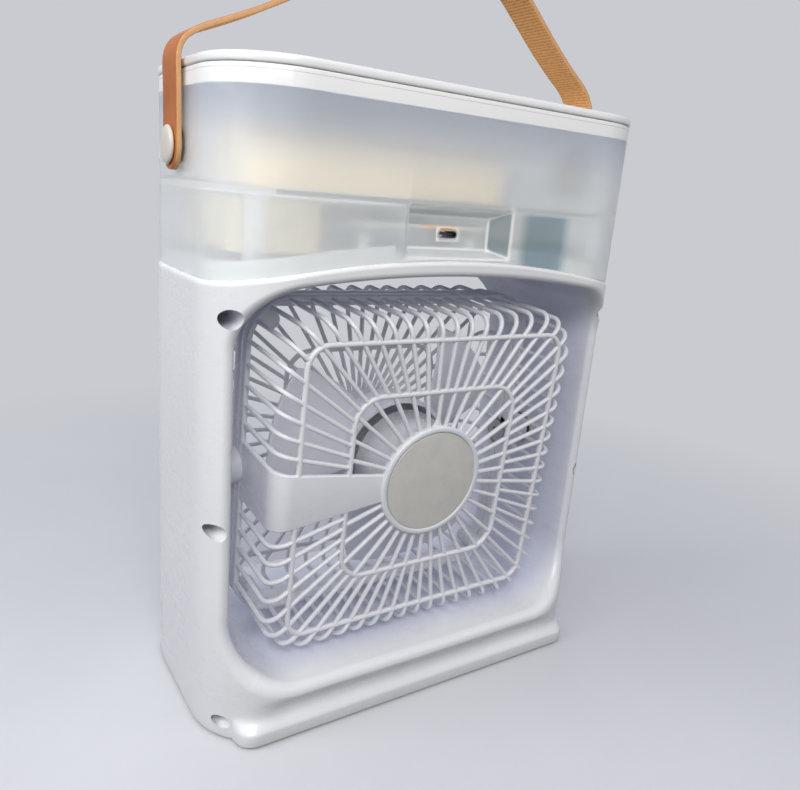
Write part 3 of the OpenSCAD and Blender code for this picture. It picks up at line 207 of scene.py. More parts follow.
# Round-cornered plan outline as centres and outward normals: a point at inset d is
# centre + (corner - d) * normal
def planOutline(halfW, halfD, corner, straight=6, turn=16):
    flatW, flatD = halfW - corner, halfD - corner
    a = np.radians(np.linspace(0, 90, turn + 1))
    side = np.stack([np.full(straight, flatW), np.linspace(0, flatD, straight, endpoint=False)], -1)
    bend = np.tile([flatW, flatD], (turn + 1, 1))
    back = np.stack([np.linspace(flatW, 0, 2 * straight + 1)[1:], np.full(2 * straight, flatD)], -1)
    centre = np.vstack([side, bend, back])
    normal = np.vstack([np.tile([1.0, 0.0], (straight, 1)), np.stack([np.cos(a), np.sin(a)], -1),
                        np.tile([0.0, 1.0], (2 * straight, 1))])
    flip, keep = np.array([-1.0, 1.0]), slice(-2, None, -1)
    centre = np.vstack([centre, centre[keep] * flip])
    normal = np.vstack([normal, normal[keep] * flip])
    flip, keep = np.array([1.0, -1.0]), slice(-2, 0, -1)
    return np.vstack([centre, centre[keep] * flip]), np.vstack([normal, normal[keep] * flip])


# Round-cornered ring about (x, z) at depth y
def ringAt(y, x, z, width, height, r, steps):
    ring = roundSection(width, height, r, steps)
    return np.column_stack([ring[:, 0] + x, 0 * ring[:, 0] + y, ring[:, 1] + z])


def block(x0, x1, y0, y1, z0, z1):
    flat = [[x0, y0], [x1, y0], [x1, y1], [x0, y1]]
    return loft([np.column_stack([flat, np.full(4, z)]) for z in (z0, z1)])


# Closed upright solid: rings of the outline at (inset, height) rows, both ends shut onto the line y = 0
def planSolid(halfW, halfD, corner, rows, shift=(0.0, 0.0), straight=6, turn=16):
    centre, normal = planOutline(halfW, halfD, corner, straight, turn)

    def ring(inset, height, keep=1):
        x, y = (centre + (corner - inset) * normal).T
        return np.column_stack([x, y * keep, height(x) if callable(height) else 0 * x + height])

    rings = [ring(*rows[0], 0)] + [ring(*row) for row in rows] + [ring(*rows[-1], 0)]
    points = np.stack(rings) + [*shift, 0]
    return points.reshape(-1, 3), [gridQuads(len(rings), points.shape[1], wrapCols=True)]


# Height of the arc between housing and tank: centre height + root of (radius squared - x squared)
def jointHeight(x, up=0.0):
    r = body["jointR"]
    return body["joint"] + up - r + np.sqrt(r * r - np.asarray(x) ** 2)


def cylinderY(x, z, r, y0, y1, segments=48):
    return lathe([(0, y0), (r, y0), (r, y1), (0, y1)], (x, 0, z), (0, 1, 0), segments)


def cylinderX(y, z, r, x0, x1, segments=48):
    return lathe([(0, x0), (r, x0), (r, x1), (0, x1)], (0, y, z), (1, 0, 0), segments)


def product(first, *others):
    for other in others:
        first = addNode("Math", first, other, operation="MULTIPLY")
    return first


# Distance of a value from a middle, either way
def off(value, middle):
    return addNode("Math", addNode("Math", value, middle, operation="SUBTRACT"), operation="ABSOLUTE")


# 1 within the near distance of a middle, down to 0 at the far one
def close(value, middle, near, far):
    return addNode("MapRange", off(value, middle), near, far, 1.0, 0.0)


# Material with its coordinates: the object's own, or an attribute that the mesh carries
def newMaterial(name, attribute=None):
    material = bpy.data.materials.new(name)
    material.use_nodes = True
    tree = material.node_tree
    tree.nodes.clear()
    if attribute:
        return material, addNode("Attribute", tree=tree, attribute_name=attribute, out="Vector")
    return material, addNode("TexCoord", tree=tree, out="Object")


# Gives the material its shader, by short names for the shader's inputs
def wire(material, **inputs):
    names = {"colour": "Base Color", "rough": "Roughness", "metal": "Metallic", "normal": "Normal",
             "coat": "Coat Weight", "coatRough": "Coat Roughness", "clear": "Transmission Weight",
             "ior": "IOR", "spec": "Specular IOR Level", "sheen": "Sheen Weight"}
    named = {names[key]: value for key, value in inputs.items()}
    addNode("OutputMaterial", addNode("BsdfPrincipled", tree=material.node_tree, **named))
    return material


# Lets another shader take over, by a factor, from what reaches the surface
def takeOver(factor, other):
    surface = factor.id_data.nodes["Material Output"].inputs["Surface"]
    factor.id_data.links.new(addNode("MixShader", factor, surface.links[0].from_socket, other), surface)


# Moulded plastic: cloudy tone, fine orange peel, rubbed patches in the gloss and a few specks of dust
def plastic(name, light, shade, rough=0.3, peel=0.25, coat=0.0, inside=None):
    material, where = newMaterial(name)
    cloud = addNode("TexNoise", where, 22.0, 4.0, 0.6)
    tone = addNode("Mix", addNode("MapRange", cloud, 0.3, 0.7), light, shade, data_type="RGBA")
    if inside:  # painted shade: the tunnel's skin is tinted bluer, standing for its shadow
        side, depth = (addNode("SeparateXYZ", where, out=axis) for axis in "XY")
        within = product(close(side, 0.0, 0.0895, 0.0905), close(depth, 0.0, 0.03, 0.043))
        tone = addNode("Mix", within, tone, inside, data_type="RGBA")
    dot = addNode("MapRange", addNode("TexVoronoi", where, 260.0), 0.035, 0.05, 1.0, 0.0)
    rare = addNode("MapRange", addNode("TexNoise", where, 60.0, 2.0), 0.6, 0.66, 0.0, 0.35)
    tone = addNode("Mix", product(dot, rare), tone, "#8d8a84", data_type="RGBA")
    rubbed = addNode("TexNoise", addNode("Mapping", where, Scale=(1.0, 1.0, 2.4)), 34.0, 6.0, 0.62)
    fine = addNode("TexNoise", where, 2600.0, 2.0, 0.6)
    gloss = addNode("Math", addNode("MapRange", rubbed, 0.3, 0.75, rough * 0.82, rough * 1.3),
                    addNode("MapRange", fine, 0.3, 0.7, -0.02, 0.03), operation="ADD")
    wave = addNode("TexNoise", where, 38.0, 2.0, 0.5)
    skin = addNode("TexNoise", where, 900.0, 2.0, 0.5)
    normal = addNode("Bump", Height=wave, Strength=0.06, Distance=0.0002)
    normal = addNode("Bump", Height=skin, Strength=peel, Distance=0.00001, Normal=normal)
    return wire(material, colour=tone, rough=gloss, normal=normal, coat=coat, coatRough=0.12)


# Metal with brushed streaks and slight stains
def metal(name, light, shade, rough=0.32):
    material, where = newMaterial(name)
    streak = addNode("TexNoise", addNode("Mapping", where, Scale=(1.0, 1.0, 14.0)), 420.0, 5.0, 0.65)
    stain = addNode("TexNoise", where, 90.0, 3.0)
    tone = addNode("Mix", addNode("MapRange", stain, 0.35, 0.7), light, shade, data_type="RGBA")
    gloss = addNode("MapRange", streak, 0.3, 0.7, rough * 0.7, rough * 1.4)
    return wire(material, colour=tone, metal=1.0, rough=gloss,
                normal=addNode("Bump", Height=streak, Strength=0.25, Distance=0.00002))


# Printed board: solder mask with tracks as thin cell edges, pads as dots
def board(name, mask, track, edge=None):
    material, where = newMaterial(name)
    edges = addNode("TexVoronoi", where, 170.0, feature="DISTANCE_TO_EDGE", distance="MANHATTAN")
    line = addNode("MapRange", edges, 0.03, 0.06, 1.0, 0.0)
    dot = addNode("MapRange", addNode("TexVoronoi", where, 240.0), 0.16, 0.2, 1.0, 0.0)
    tone = addNode("Mix", addNode("Math", line, 0.5, operation="MULTIPLY"), mask, track, data_type="RGBA")
    tone = addNode("Mix", addNode("Math", dot, 0.7, operation="MULTIPLY"), tone, "#c9a86a", data_type="RGBA")
    if edge:  # cut edge, brighter near the port
        facing = addNode("NewGeometry", tree=where.id_data, out="Normal")
        facing = addNode("SeparateXYZ", facing, out="Z")
        lit = close(addNode("SeparateXYZ", where, out="X"), 0.006, 0.008, 0.012)
        cut = addNode("Mix", lit, "#b9b7a6", edge, data_type="RGBA")
        tone = addNode("Mix", close(facing, 0.0, 0.4, 0.6), tone, cut, data_type="RGBA")
    normal = addNode("Bump", Height=line, Strength=0.3, Distance=0.00004)
    return wire(material, colour=tone, rough=0.35, normal=normal)


# Rubber or soft plastic: matt, finely grained, dusty in patches
def rubber(name, light, shade, rough=0.62, clear=0.0):
    material, where = newMaterial(name)
    patch = addNode("TexNoise", where, 70.0, 5.0, 0.6)
    grain = addNode("TexNoise", where, 3200.0, 3.0, 0.6)
    tone = addNode("Mix", addNode("MapRange", patch, 0.35, 0.7), light, shade, data_type="RGBA")
    return wire(material, colour=tone, rough=addNode("MapRange", grain, 0.3, 0.7, rough - 0.08, rough + 0.1),
                normal=addNode("Bump", Height=grain, Strength=0.35, Distance=0.00004), clear=clear, ior=1.41)


# Pressed cotton: crossed fibres as two stretched noises
def cotton(name, light, shade):
    material, where = newMaterial(name)
    along = addNode("TexNoise", addNode("Mapping", where, Scale=(1.0, 0.12, 1.0)), 1400.0, 4.0, 0.6)
    cross = addNode("TexNoise", addNode("Mapping", where, Scale=(0.2, 1.0, 1.0)), 1500.0, 4.0, 0.6)
    fibre = addNode("Math", along, cross, operation="MAXIMUM")
    tone = addNode("Mix", addNode("MapRange", fibre, 0.4, 0.7), shade, light, data_type="RGBA")
    normal = addNode("Bump", Height=fibre, Strength=0.6, Distance=0.0001)
    return wire(material, colour=tone, rough=0.9, normal=normal, sheen=0.2)


# Frosted tank plastic: rough transmission that lets lamps through, milky clouds, flow lines and tiny pits.
# Its tints stand for what shows soft through the wall, except the painted shade under the cover and on the
# pocket's far slope and the painted highlights on the pocket's edges and round the port; each has a mask that
# is 1 where it applies.
def frosted(name):
    material, where = newMaterial(name)
    side, depth, height = (addNode("SeparateXYZ", where, out=axis) for axis in "XYZ")
    cloud = addNode("TexNoise", where, 26.0, 4.0, 0.55)
    tone = addNode("Mix", addNode("MapRange", cloud, 0.3, 0.7), "#eff1f3", "#e9ecee", data_type="RGBA")
    # milky floor inside the walls, and painted shade, cooler, under the cover
    slab = product(addNode("MapRange", height, 0.2114, 0.2118),
                   addNode("MapRange", height, 0.21385, 0.21395, 1.0, 0.0), close(depth, 0.0, 0.0478, 0.0481))
    tone = addNode("Mix", slab, tone, "#f2f4f3", data_type="RGBA")
    tone = addNode("Mix", addNode("MapRange", height, 0.229, 0.2445), tone, "#d3d9e4", data_type="RGBA")
    # creamier where the pale box stands close behind the rear wall
    box = product(addNode("MapRange", side, -0.017, -0.009), addNode("MapRange", side, 0.085, 0.09, 1.0, 0.0),
                  addNode("MapRange", height, 0.2139, 0.2141),
                  addNode("MapRange", height, 0.221, 0.231, 1.0, 0.0),
                  addNode("MapRange", depth, 0.03, 0.032, 0.0, 0.9))
    tone = addNode("Mix", box, tone, "#f7f2e7", data_type="RGBA")
    # pocket edges, given painted highlights: of the distances to its side walls, to its floor or ceiling
    # and to its back or mouth, two are small
    back = pocket["back"] * mm
    into = addNode("Math", depth, back, operation="SUBTRACT")
    gaps, walls = [], []
    for value, starts, slopes in ((side, pocket["x"], pocket["slopeX"]),
                                  (height, pocket["z"], pocket["slopeZ"])):
        for start, lean in zip(starts, slopes):
            run = addNode("Math", into, lean, operation="MULTIPLY")
            walls.append(addNode("Math", run, start * mm, operation="ADD"))
        gaps.append(addNode("Math", off(value, walls[-2]), off(value, walls[-1]), operation="MINIMUM"))
    gaps.append(addNode("Math", off(depth, back), off(depth, pocket["mouth"] * mm), operation="MINIMUM"))
    least, most = (addNode("Math", gaps[0], gaps[1], operation=how) for how in ("MINIMUM", "MAXIMUM"))
    middle = addNode("Math", least, addNode("Math", most, gaps[2], operation="MINIMUM"), operation="MAXIMUM")
    portX, portZ, portW, portH = (size * mm for size in pocket["port"])
    level = close(height, 0.203, 0.0102, 0.0106)
    line = product(addNode("MapRange", middle, 0.00045, 0.0009, 0.75, 0.0),
                   close(side, portX, 0.0252, 0.0256), level, addNode("MapRange", depth, 0.04, 0.0405))
    # painted highlight as a white rim round the port, and painted shade greying the far slope
    past = [addNode("Math", off(side, portX), portW / 2, operation="SUBTRACT"),
            addNode("Math", off(height, portZ), portH / 2, operation="SUBTRACT")]
    portHighlight = product(addNode("MapRange", addNode("Math", *past, operation="MAXIMUM"), 0.0004, 0.0006, 1.0, 0.0),
                  close(depth, back, 0.0004, 0.0005))
    line = addNode("Math", line, portHighlight, operation="MAXIMUM")
    slopeShade = product(close(side, walls[0], 0.0002, 0.0004), addNode("MapRange", into, 0.0003, 0.0006), level,
                    addNode("MapRange", depth, 0.05, 0.0502, 1.0, 0.0))
    # painted shade on the pocket's far slope
    tone = addNode("Mix", slopeShade, tone, "#9fadb4", data_type="RGBA")
    # painted highlights: the pocket's edges and the port's rim turn near white
    tone = addNode("Mix", line, tone, "#fbfbf9", data_type="RGBA")
    # skirt darker in a patch at x about -39 mm, below the floor and near the rear wall
    darkPatch = product(close(side, -0.0388, 0.009, 0.0145), addNode("MapRange", height, 0.2105, 0.2125, 1.0, 0.0),
                   addNode("MapRange", depth, 0.044, 0.045))
    tone = addNode("Mix", darkPatch, tone, "#afc0c9", data_type="RGBA")
    # white band where the cover's skirt backs the wall, with a thin seam
    backed = addNode("MapRange", height, 0.24515, 0.2454)
    seam = addNode("MapRange", off(height, 0.2497), 0.00008, 0.00016, 0.55, 0.0)
    white = addNode("Mix", seam, "#f3f3f2", "#a4a8ac", data_type="RGBA")
    tone = addNode("Mix", backed, tone, white, data_type="RGBA")
    pit = product(addNode("MapRange", addNode("TexVoronoi", where, 420.0), 0.06, 0.12, 1.0, 0.0),
                  addNode("MapRange", addNode("TexNoise", where, 45.0, 3.0), 0.62, 0.7))
    flow = addNode("TexNoise", addNode("Mapping", where, Scale=(0.5, 1.0, 3.0)), 70.0, 5.0, 0.6)
    fine = addNode("TexNoise", where, 1800.0, 2.0, 0.5)
    normal = addNode("Bump", Height=flow, Strength=0.12, Distance=0.0003)
    normal = addNode("Bump", Height=fine, Strength=0.1, Distance=0.00002, Normal=normal)
    normal = addNode("Bump", Height=pit, Strength=0.5, Distance=0.0001, Normal=normal)
    clear = addNode("MapRange", backed, 0.0, 1.0, 0.72, 0.0)
    for mask, left in ((slab, 0.4), (line, 0.2), (box, 0.55)):
        clear = product(clear, addNode("MapRange", mask, 0.0, 1.0, 1.0, left))
    wire(material, colour=tone, rough=addNode("MapRange", cloud, 0.3, 0.7, 0.34, 0.42), normal=normal,
         clear=clear, ior=1.2, coat=0.35, coatRough=0.08)
    tree = material.node_tree
    takeOver(addNode("LightPath", tree=tree, out="Is Shadow Ray"),
             addNode("BsdfTransparent", "#f6f6f6", tree=tree))
    return material


# Leather by side, carried as an attribute: 0 the smooth outside, 1 the ribbed underside, 0.5 the raw edge
def leather(name):
    material, where = newMaterial(name, "along")
    side = addNode("Attribute", tree=material.node_tree, attribute_name="face", out="Fac")
    grain = addNode("TexNoise", where, 900.0, 4.0, 0.62)
    pores = addNode("TexVoronoi", where, 1300.0, feature="DISTANCE_TO_EDGE")
    crack = addNode("MapRange", pores, 0.02, 0.16, 1.0, 0.0)
    cloud = addNode("TexNoise", where, 60.0, 5.0, 0.6)
    top = addNode("Mix", addNode("MapRange", cloud, 0.3, 0.72), "#c4753c", "#a9602c", data_type="RGBA")
    top = addNode("Mix", addNode("Math", crack, 0.2, operation="MULTIPLY"), top, "#7d4a24", data_type="RGBA")
    rib = addNode("TexWave", where, 215.0, 2.4, 2.0, 3.0, bands_direction="X", out="Fac")
    nap = addNode("TexNoise", addNode("Mapping", where, Scale=(0.35, 1.0, 1.0)), 1700.0, 4.0, 0.7)
    under = addNode("Mix", rib, "#b5793f", "#dfa566", data_type="RGBA")
    under = addNode("Mix", addNode("MapRange", nap, 0.35, 0.75, 0.0, 0.6), under, "#edbd83", data_type="RGBA")
    edge = addNode("Mix", nap, "#e0b384", "#c48f5c", data_type="RGBA")
    isUnder = addNode("MapRange", side, 0.7, 0.8)
    isEdge = addNode("Math", addNode("MapRange", side, 0.2, 0.3),
                     addNode("Math", 1.0, isUnder, operation="SUBTRACT"), operation="MULTIPLY")
    tone = addNode("Mix", isUnder, top, under, data_type="RGBA")
    tone = addNode("Mix", isEdge, tone, edge, data_type="RGBA")
    raised = addNode("Mix", isUnder, grain, rib)
    normal = addNode("Bump", Height=raised, Strength=0.5, Distance=0.00012)
    normal = addNode("Bump", Height=nap, Strength=0.3, Distance=0.00006, Normal=normal)
    rough = addNode("Math", addNode("MapRange", grain, 0.3, 0.7, 0.42, 0.55),
                    addNode("Math", isUnder, 0.25, operation="MULTIPLY"), operation="ADD")
    return wire(material, colour=tone, rough=rough, normal=normal, spec=0.22)


# Flat bare disc: satin with faint rings from its turning
def disc(name):
    material, where = newMaterial(name)
    haze = addNode("TexNoise", where, 120.0, 4.0, 0.6)
    fine = addNode("TexNoise", where, 2400.0, 3.0, 0.6)
    tone = addNode("Mix", addNode("MapRange", haze, 0.3, 0.7), "#d9d8d0", "#cfcec7", data_type="RGBA")
    return wire(material, colour=tone, rough=addNode("MapRange", fine, 0.3, 0.7, 0.34, 0.46), metal=0.25,
                normal=addNode("Bump", Height=fine, Strength=0.15, Distance=0.00002))


paint = {
    # the bluer tunnel tint given as inside is painted shade
    "white_abs": plastic("housingWhite", "#eeeff0", "#eaebed", 0.27, coat=0.25, inside="#dfe2f0"),
    "grey_abs": plastic("baseGrey", "#d6d8dc", "#cfd1d6", 0.5, peel=0.5),
    "inner_abs": plastic("trayWhite", "#c3c5c2", "#babcb9", 0.45),
    "ivory_abs": plastic("mistIvory", "#ffe9c6", "#f8dfb8", 0.4),
    "cover_abs": plastic("coverWhite", "#f0f0f0", "#ecedee", 0.22, coat=0.3),
    "cage_abs": plastic("cageWhite", "#ecedf1", "#e8e9ee", 0.26, coat=0.2),
    "impeller_abs": plastic("bladeWhite", "#ecedf4", "#e7e8f1", 0.3),
    "button_abs": plastic("buttonWhite", "#eff1f4", "#eaecf0", 0.35),
    "nylon": plastic("bushNylon", "#e6e2d4", "#ded9c9", 0.4),
    "rivet_plastic": plastic("capWhite", "#ddd6cc", "#d3ccc1", 0.3),
    "cell_wrap": plastic("cellWrap", "#cabd9f", "#c0b191", 0.42, peel=0.6),
    "coil_ferrite": plastic("coilTape", "#e9dcc0", "#dccdaf", 0.5),
    "black_epoxy": plastic("blackEpoxy", "#1b1b1d", "#232326", 0.4),
    "led_resin": plastic("ledResin", "#f3ebc2", "#ece0ac", 0.2),
    "frosted_tank": frosted("frostedTank"),
    "clear_silicone": rubber("silicone", "#e2e4e5", "#d7dadb", 0.4, 0.3),
    "grey_rubber": rubber("greyRubber", "#3c3c3f", "#333336"),
    "lead_pvc": rubber("leadSleeve", "#2e2e31", "#262629", 0.45),
    "screw_steel": metal("screwSteel", "#b9babd", "#a5a6aa"),
    "socket_steel": metal("socketSteel", "#d4d5d8", "#c4c5c9", 0.22),
    "motor_steel": metal("motorSteel", "#b4b5b8", "#9fa0a4", 0.35),
    "disc_metal": metal("discSteel", "#cfd0d2", "#bfc0c3", 0.2),
    "bearing_bronze": metal("bronze", "#b58a4d", "#9c7238", 0.4),
    "circuit_board": board("greenBoard", "#1f5a3a", "#2f7a50"),
    "white_board": board("whiteBoard", "#e9e9e4", "#d6d6cf"),
    "cotton_wick": cotton("wickCotton", "#f1efe8", "#dcd8cc"),
    "brown_leather": leather("leather"),
    "label_disc": disc("bareDisc"),
}
for part in frame["record"]["subparts"]:
    node = nodes[part["node"]]
    node.data.materials.clear()
    node.data.materials.append(paint[part["material_slot"]])
nodes["main_board"].data.materials[0] = board("mainBoard", "#1f5a3a", "#2f7a50", "#d9973c")
print("surfaces made")


# Point and outward normal of the outer wall at arc length u from the middle of the face:
# straight, round the corner, along the side
def wallAt(u):
    flatW, r = body["halfW"] - body["corner"], body["corner"]
    a = np.abs(u)
    phi = np.clip((a - flatW) / r, 0, math.pi / 2)
    x = np.where(a < flatW, a, flatW + r * np.sin(phi))
    y = body["halfD"] - r + r * np.cos(phi) - np.clip(a - flatW - r * math.pi / 2, 0, None)
    y = y + body["bulge"] * 0.5 * (1 + np.cos(math.pi * np.clip(a / flatW, 0, 1)))
    return np.sign(u) * x, y, np.stack([np.sign(u) * np.sin(phi), np.cos(phi)], -1)


# Arc length u at which the outer wall has that x
def lengthAt(x):
    flatW, r = body["halfW"] - body["corner"], body["corner"]
    a = np.abs(x)
    return np.sign(x) * np.where(a < flatW, a, flatW + r * np.arcsin(np.clip((a - flatW) / r, 0, 1)))


# Right half of the opening's outline, from the middle of the floor to the middle of the ceiling:
# points, outward normals and the wall point (u, z) that each one runs out to
def openingHalf(edge, bandTop):
    reach = body["halfW"] - body["corner"] + body["corner"] * math.pi / 2 + body["halfD"] - body["corner"]
    lowX = gap["halfW"] - gap["lowR"]
    topX = gap["halfW"] - gap["topR"]
    cz = gap["ceiling"] - gap["ceilingR"]
    topZ = cz + math.sqrt((gap["ceilingR"] - gap["topR"]) ** 2 - topX ** 2)
    lowZ = gap["floor"] + gap["lowR"]
    topAngle = math.degrees(math.atan2(topZ - cz, topX))

    # equal steps of angle about a centre, with the one nearest to the corner's angle moved onto it
    def fan(centre, r, a0, a1, count, corner=None):
        a = np.linspace(a0, a1, count + 1)
        if corner is not None:
            k = np.argmin(np.abs(a - corner))
            a[k] = corner if 0 < k < count else a[k]
        n = np.stack([np.cos(np.radians(a)), np.sin(np.radians(a))], -1)
        return np.array(centre) + r * n, n

    x = np.linspace(0, lowX, 31)[:-1]
    floor = np.stack([x, np.full(len(x), gap["floor"])], -1), np.tile([0.0, -1.0], (len(x), 1))
    lowCorner = math.degrees(math.atan2(bandTop - lowZ, reach - lowX))
    low = fan((lowX, lowZ), gap["lowR"], -90, 0, 56, lowCorner)
    z = np.linspace(lowZ, topZ, 49)[1:-1]
    side = np.stack([np.full(len(z), gap["halfW"]), z], -1), np.tile([1.0, 0.0], (len(z), 1))
    highCorner = math.degrees(math.atan2(float(jointHeight(body["halfW"])) - edge - topZ, reach - topX))
    top = fan((topX, topZ), gap["topR"], 0, topAngle, 56, highCorner)
    ceiling = [rows[1:] for rows in fan((0, cz), gap["ceilingR"], topAngle, 90, 32)]
    points, normals = (np.vstack(rows) for rows in zip(floor, low, side, top, ceiling))

    # where a ray from (u, z) along n meets the band's top line, the side or the joint arc
    def ends(start, n):
        with np.errstate(divide="ignore", invalid="ignore"):
            side = np.where(n[:, 0] > 1e-9, (reach - start[:, 0]) / n[:, 0], 1e9)
            side = np.minimum(side, np.where(n[:, 1] < -1e-9, (bandTop - start[:, 1]) / n[:, 1], 1e9))
        up, top = n[:, 1] > 1e-9, np.zeros(len(n))
        for _ in range(80):
            u = np.clip(start[:, 0] + top * n[:, 0], 0, reach)
            limit = jointHeight(wallAt(u)[0]) - edge
            top = np.where(up, (limit - start[:, 1]) / np.where(up, n[:, 1], 1), 1e9)
        return start + np.minimum(side, top)[:, None] * n

    # rays of the two corners start at their centres
    starts = np.vstack([floor[0], low[0] * 0 + [lowX, lowZ], side[0], top[0] * 0 + [topX, topZ], ceiling[0]])
    return points, normals, ends(starts, normals)


ledge = {"half": 88.0, "depth": 52.0, "corner": 8.0, "cove": 2.2, "foot": 0.6}
ledgeRows = [(13.6, 0), (12.6, 0), (11.6, 0.01), (10.8, 0.04), (10.2, 0.1), (9.6, 0.19), (9.0, 0.31),
             (8.4, 0.46), (7.8, 0.61), (7.2, 0.76), (6.7, 0.88), (6.2, 0.96), (5.6, 1.0), (3.6, 1.0),
             (1.4, 1.0)]


# Depth of the foot ledge at x: flat, then a quarter circle at its end, never behind the wall
def ledgeDepth(x, wallY):
    a = np.abs(x)
    into = np.clip(a - (ledge["half"] - ledge["corner"]), 0, ledge["corner"])
    y = ledge["depth"] - ledge["corner"] + np.sqrt(ledge["corner"] ** 2 - into ** 2)
    return np.where(a <= ledge["half"] + 1e-6, np.maximum(y, wallY), wallY)


# Shallow cove of the rear wall over the ledge: depth times smooth steps in height and in x, gone before
# the corners
def cove(x, z, s):
    up = np.clip((19.5 - np.asarray(z, float)) / 7, 0, 1)
    out = np.clip((84 - np.abs(x)) / 18, 0, 1)
    return (s > 0) * ledge["cove"] * up * up * (3 - 2 * up) * out * out * (3 - 2 * out)


# Half of the housing as one closed skin: out of the tunnel, round the rim, over the wall, down the ledge
# and back inside
def housingHalf(s):
    edge, bandTop, low = 1.3, 15.0, body["low"]
    points, normals, far = openingHalf(edge, bandTop)
    # columns doubled at the ledge's end, so that its side stands upright
    k = np.argmin(np.abs(wallAt(far[:, 0])[0] - ledge["half"]) + 1e3 * (far[:, 1] > bandTop + 1e-6))
    far[k, 0] = lengthAt(ledge["half"])
    twin = far[k].copy()
    twin[0] += 0.05
    twins = (points, points[k] + [0.02, 0.005]), (normals, normals[k]), (far, twin)
    points, normals, far = (np.insert(rows, k + 1, row, 0) for rows, row in twins)
    flip = np.array([-1.0, 1.0])
    points, normals, far = (np.vstack([a, a[-2:0:-1] * flip]) for a in (points, normals, far))
    px, pz = points.T
    isLow = far[:, 1] < bandTop + 1e-4
    # rim: tangent lengths 7.2 along the sides, 4 along the floor, 2.4 along the ceiling, and more in the
    # lower corners
    soft = 2.2 * np.exp(-((np.abs(px) - 80) / 13) ** 2 - ((pz - 29) / 12) ** 2)
    u0 = lengthAt(px)
    uB = u0 + normals[:, 0] * (7.2 + soft)
    zB = pz + normals[:, 1] * (np.where(pz > head["pivot"], 2.4, 4.0) + soft)
    _, ey, _ = wallAt(u0)
    bx, by, _ = wallAt(uB)
    tip = np.stack([px, ey, pz], -1)
    end = np.stack([bx, by, zB], -1)
    back = np.linalg.norm(end - tip, axis=1)
    start = tip - back[:, None] * np.array([0, 1.0, 0])
    spread = np.arccos(np.clip((tip - end)[:, 1] / back, -1, 1))
    weight = np.sin(spread / 2)[:, None]
    rows = [np.stack([px, f * start[:, 1], pz], -1) for f in (0.0, 0.3, 0.6, 0.85)]
    # conic from tunnel to wall: (1-t)^2 start + 2 t (1-t) w tip + t^2 end, over the same sum of weights
    for t in np.linspace(0, 1, 13):
        a, b, c = (1 - t) ** 2, 2 * t * (1 - t) * weight, t ** 2
        rows.append((a * start + b * tip + c * end) / (a + b + c))
    for f in np.linspace(0, 1, 15)[1:] ** 1.15:
        u = uB + f * (far[:, 0] - uB)
        x, y, _ = wallAt(u)
        z = zB + f * (far[:, 1] - zB)
        rows.append(np.stack([x, y - cove(x, z, s), z], -1))
    wx, wy, wn = wallAt(far[:, 0])
    deep = ledgeDepth(wx, wy)
    for z, w in ledgeRows:
        inner = wy - cove(wx, z, s)
        y = np.where(isLow, inner + w * (deep - inner), wy)
        rows.append(np.stack([wx, y, np.where(isLow, z, far[:, 1])], -1))
    isTop = far[:, 1] > jointHeight(wx) - edge - 1e-3
    endY = np.where(isLow, deep, wy)
    for a in np.radians([22.5, 45, 67.5, 90]):
        turns = [np.column_stack([-wn * r * (1 - np.cos(a)), way * r * np.sin(a) + 0 * wx])
                 for r, way in ((edge, 1), (ledge["foot"], -1))]
        base = np.stack([wx, endY, np.where(isLow, low + ledge["foot"], far[:, 1])], -1)
        rows.append(base + np.where(isTop[:, None], turns[0], np.where(isLow[:, None], turns[1], 0)))
    last = rows[-1]
    rows.append(np.stack([last[:, 0], 0 * wx, np.where(isTop, jointHeight(last[:, 0]), last[:, 2])], -1))
    shape = np.stack(rows)
    shape[..., 1] = np.maximum(shape[..., 1], 0) * s
    return shape.reshape(-1, 3), [gridQuads(len(rows), shape.shape[1], wrapRows=True, wrapCols=True)]


screwPlaces = [(90.3, 169.6, 3.6), (93.2, 89.0, 3.2), (91.3, 7.7, 2.7)]
buttons = {"z": 16.2, "x": {"power_button": -22, "mist_button": 0, "light_button": 22}}


def buildHousing(name, s, node):
    shell = meshPiece(name, housingHalf(s), paint["white_abs"])
    cutters = [planSolid(78.3, 38.3, 6.0, [(0, -5.0), (0, 3.25)], straight=2, turn=8)]
    cutters += [lathe([(0, -2), (4.7, -2), (4.7, 1.6), (0, 1.6)], (x, s * 46, 0), segments=40) for x in (-72,
                                                                                                         72)]
    cutters.append(cylinderX(0, head["pivot"], 6.45, -91.5, 91.5))
    if s > 0:
        cutters += [cylinderY(side * x, z, r, 14, 60, 56) for x, z, r in screwPlaces for side in (-1, 1)]
    else:
        cutters.append(loft([ringAt(y, 0, 12, 74, 17, 1, 2) for y in (-48.6, -33)]))
        for x in buttons["x"].values():
            cutters.append(loft([ringAt(y, x, buttons["z"], 14.4, 6.4, 3.19, 8) for y in (-60, -47)]))
    combine(shell, cutters)
    settle(shell, "root", "white_abs", node)


buildHousing("RearShell", 1, "rear_shell")
buildHousing("FrontShell", -1, "front_shell")
print("housing made")


tank = {"halfW": 96.9, "halfD": 50.4, "corner": 29.4, "wall": 2.2, "rivetZ": 225.8, "nozzleZ": 225.3,
        "nozzleX": (-45.4, -22.7, 0, 22.7, 45.4)}


# Section of the pocket at depth y, moved out by a margin, with corners of radius r
def pocketRing(y, margin, r):
    into = y - pocket["back"]
    x0, x1 = np.array(pocket["x"]) + into * np.array(pocket["slopeX"]) + [-margin, margin]
    z0, z1 = np.array(pocket["z"]) + into * np.array(pocket["slopeZ"]) + [-margin, margin]
    return ringAt(y, (x0 + x1) / 2, (z0 + z1) / 2, x1 - x0, z1 - z0, r, 6)


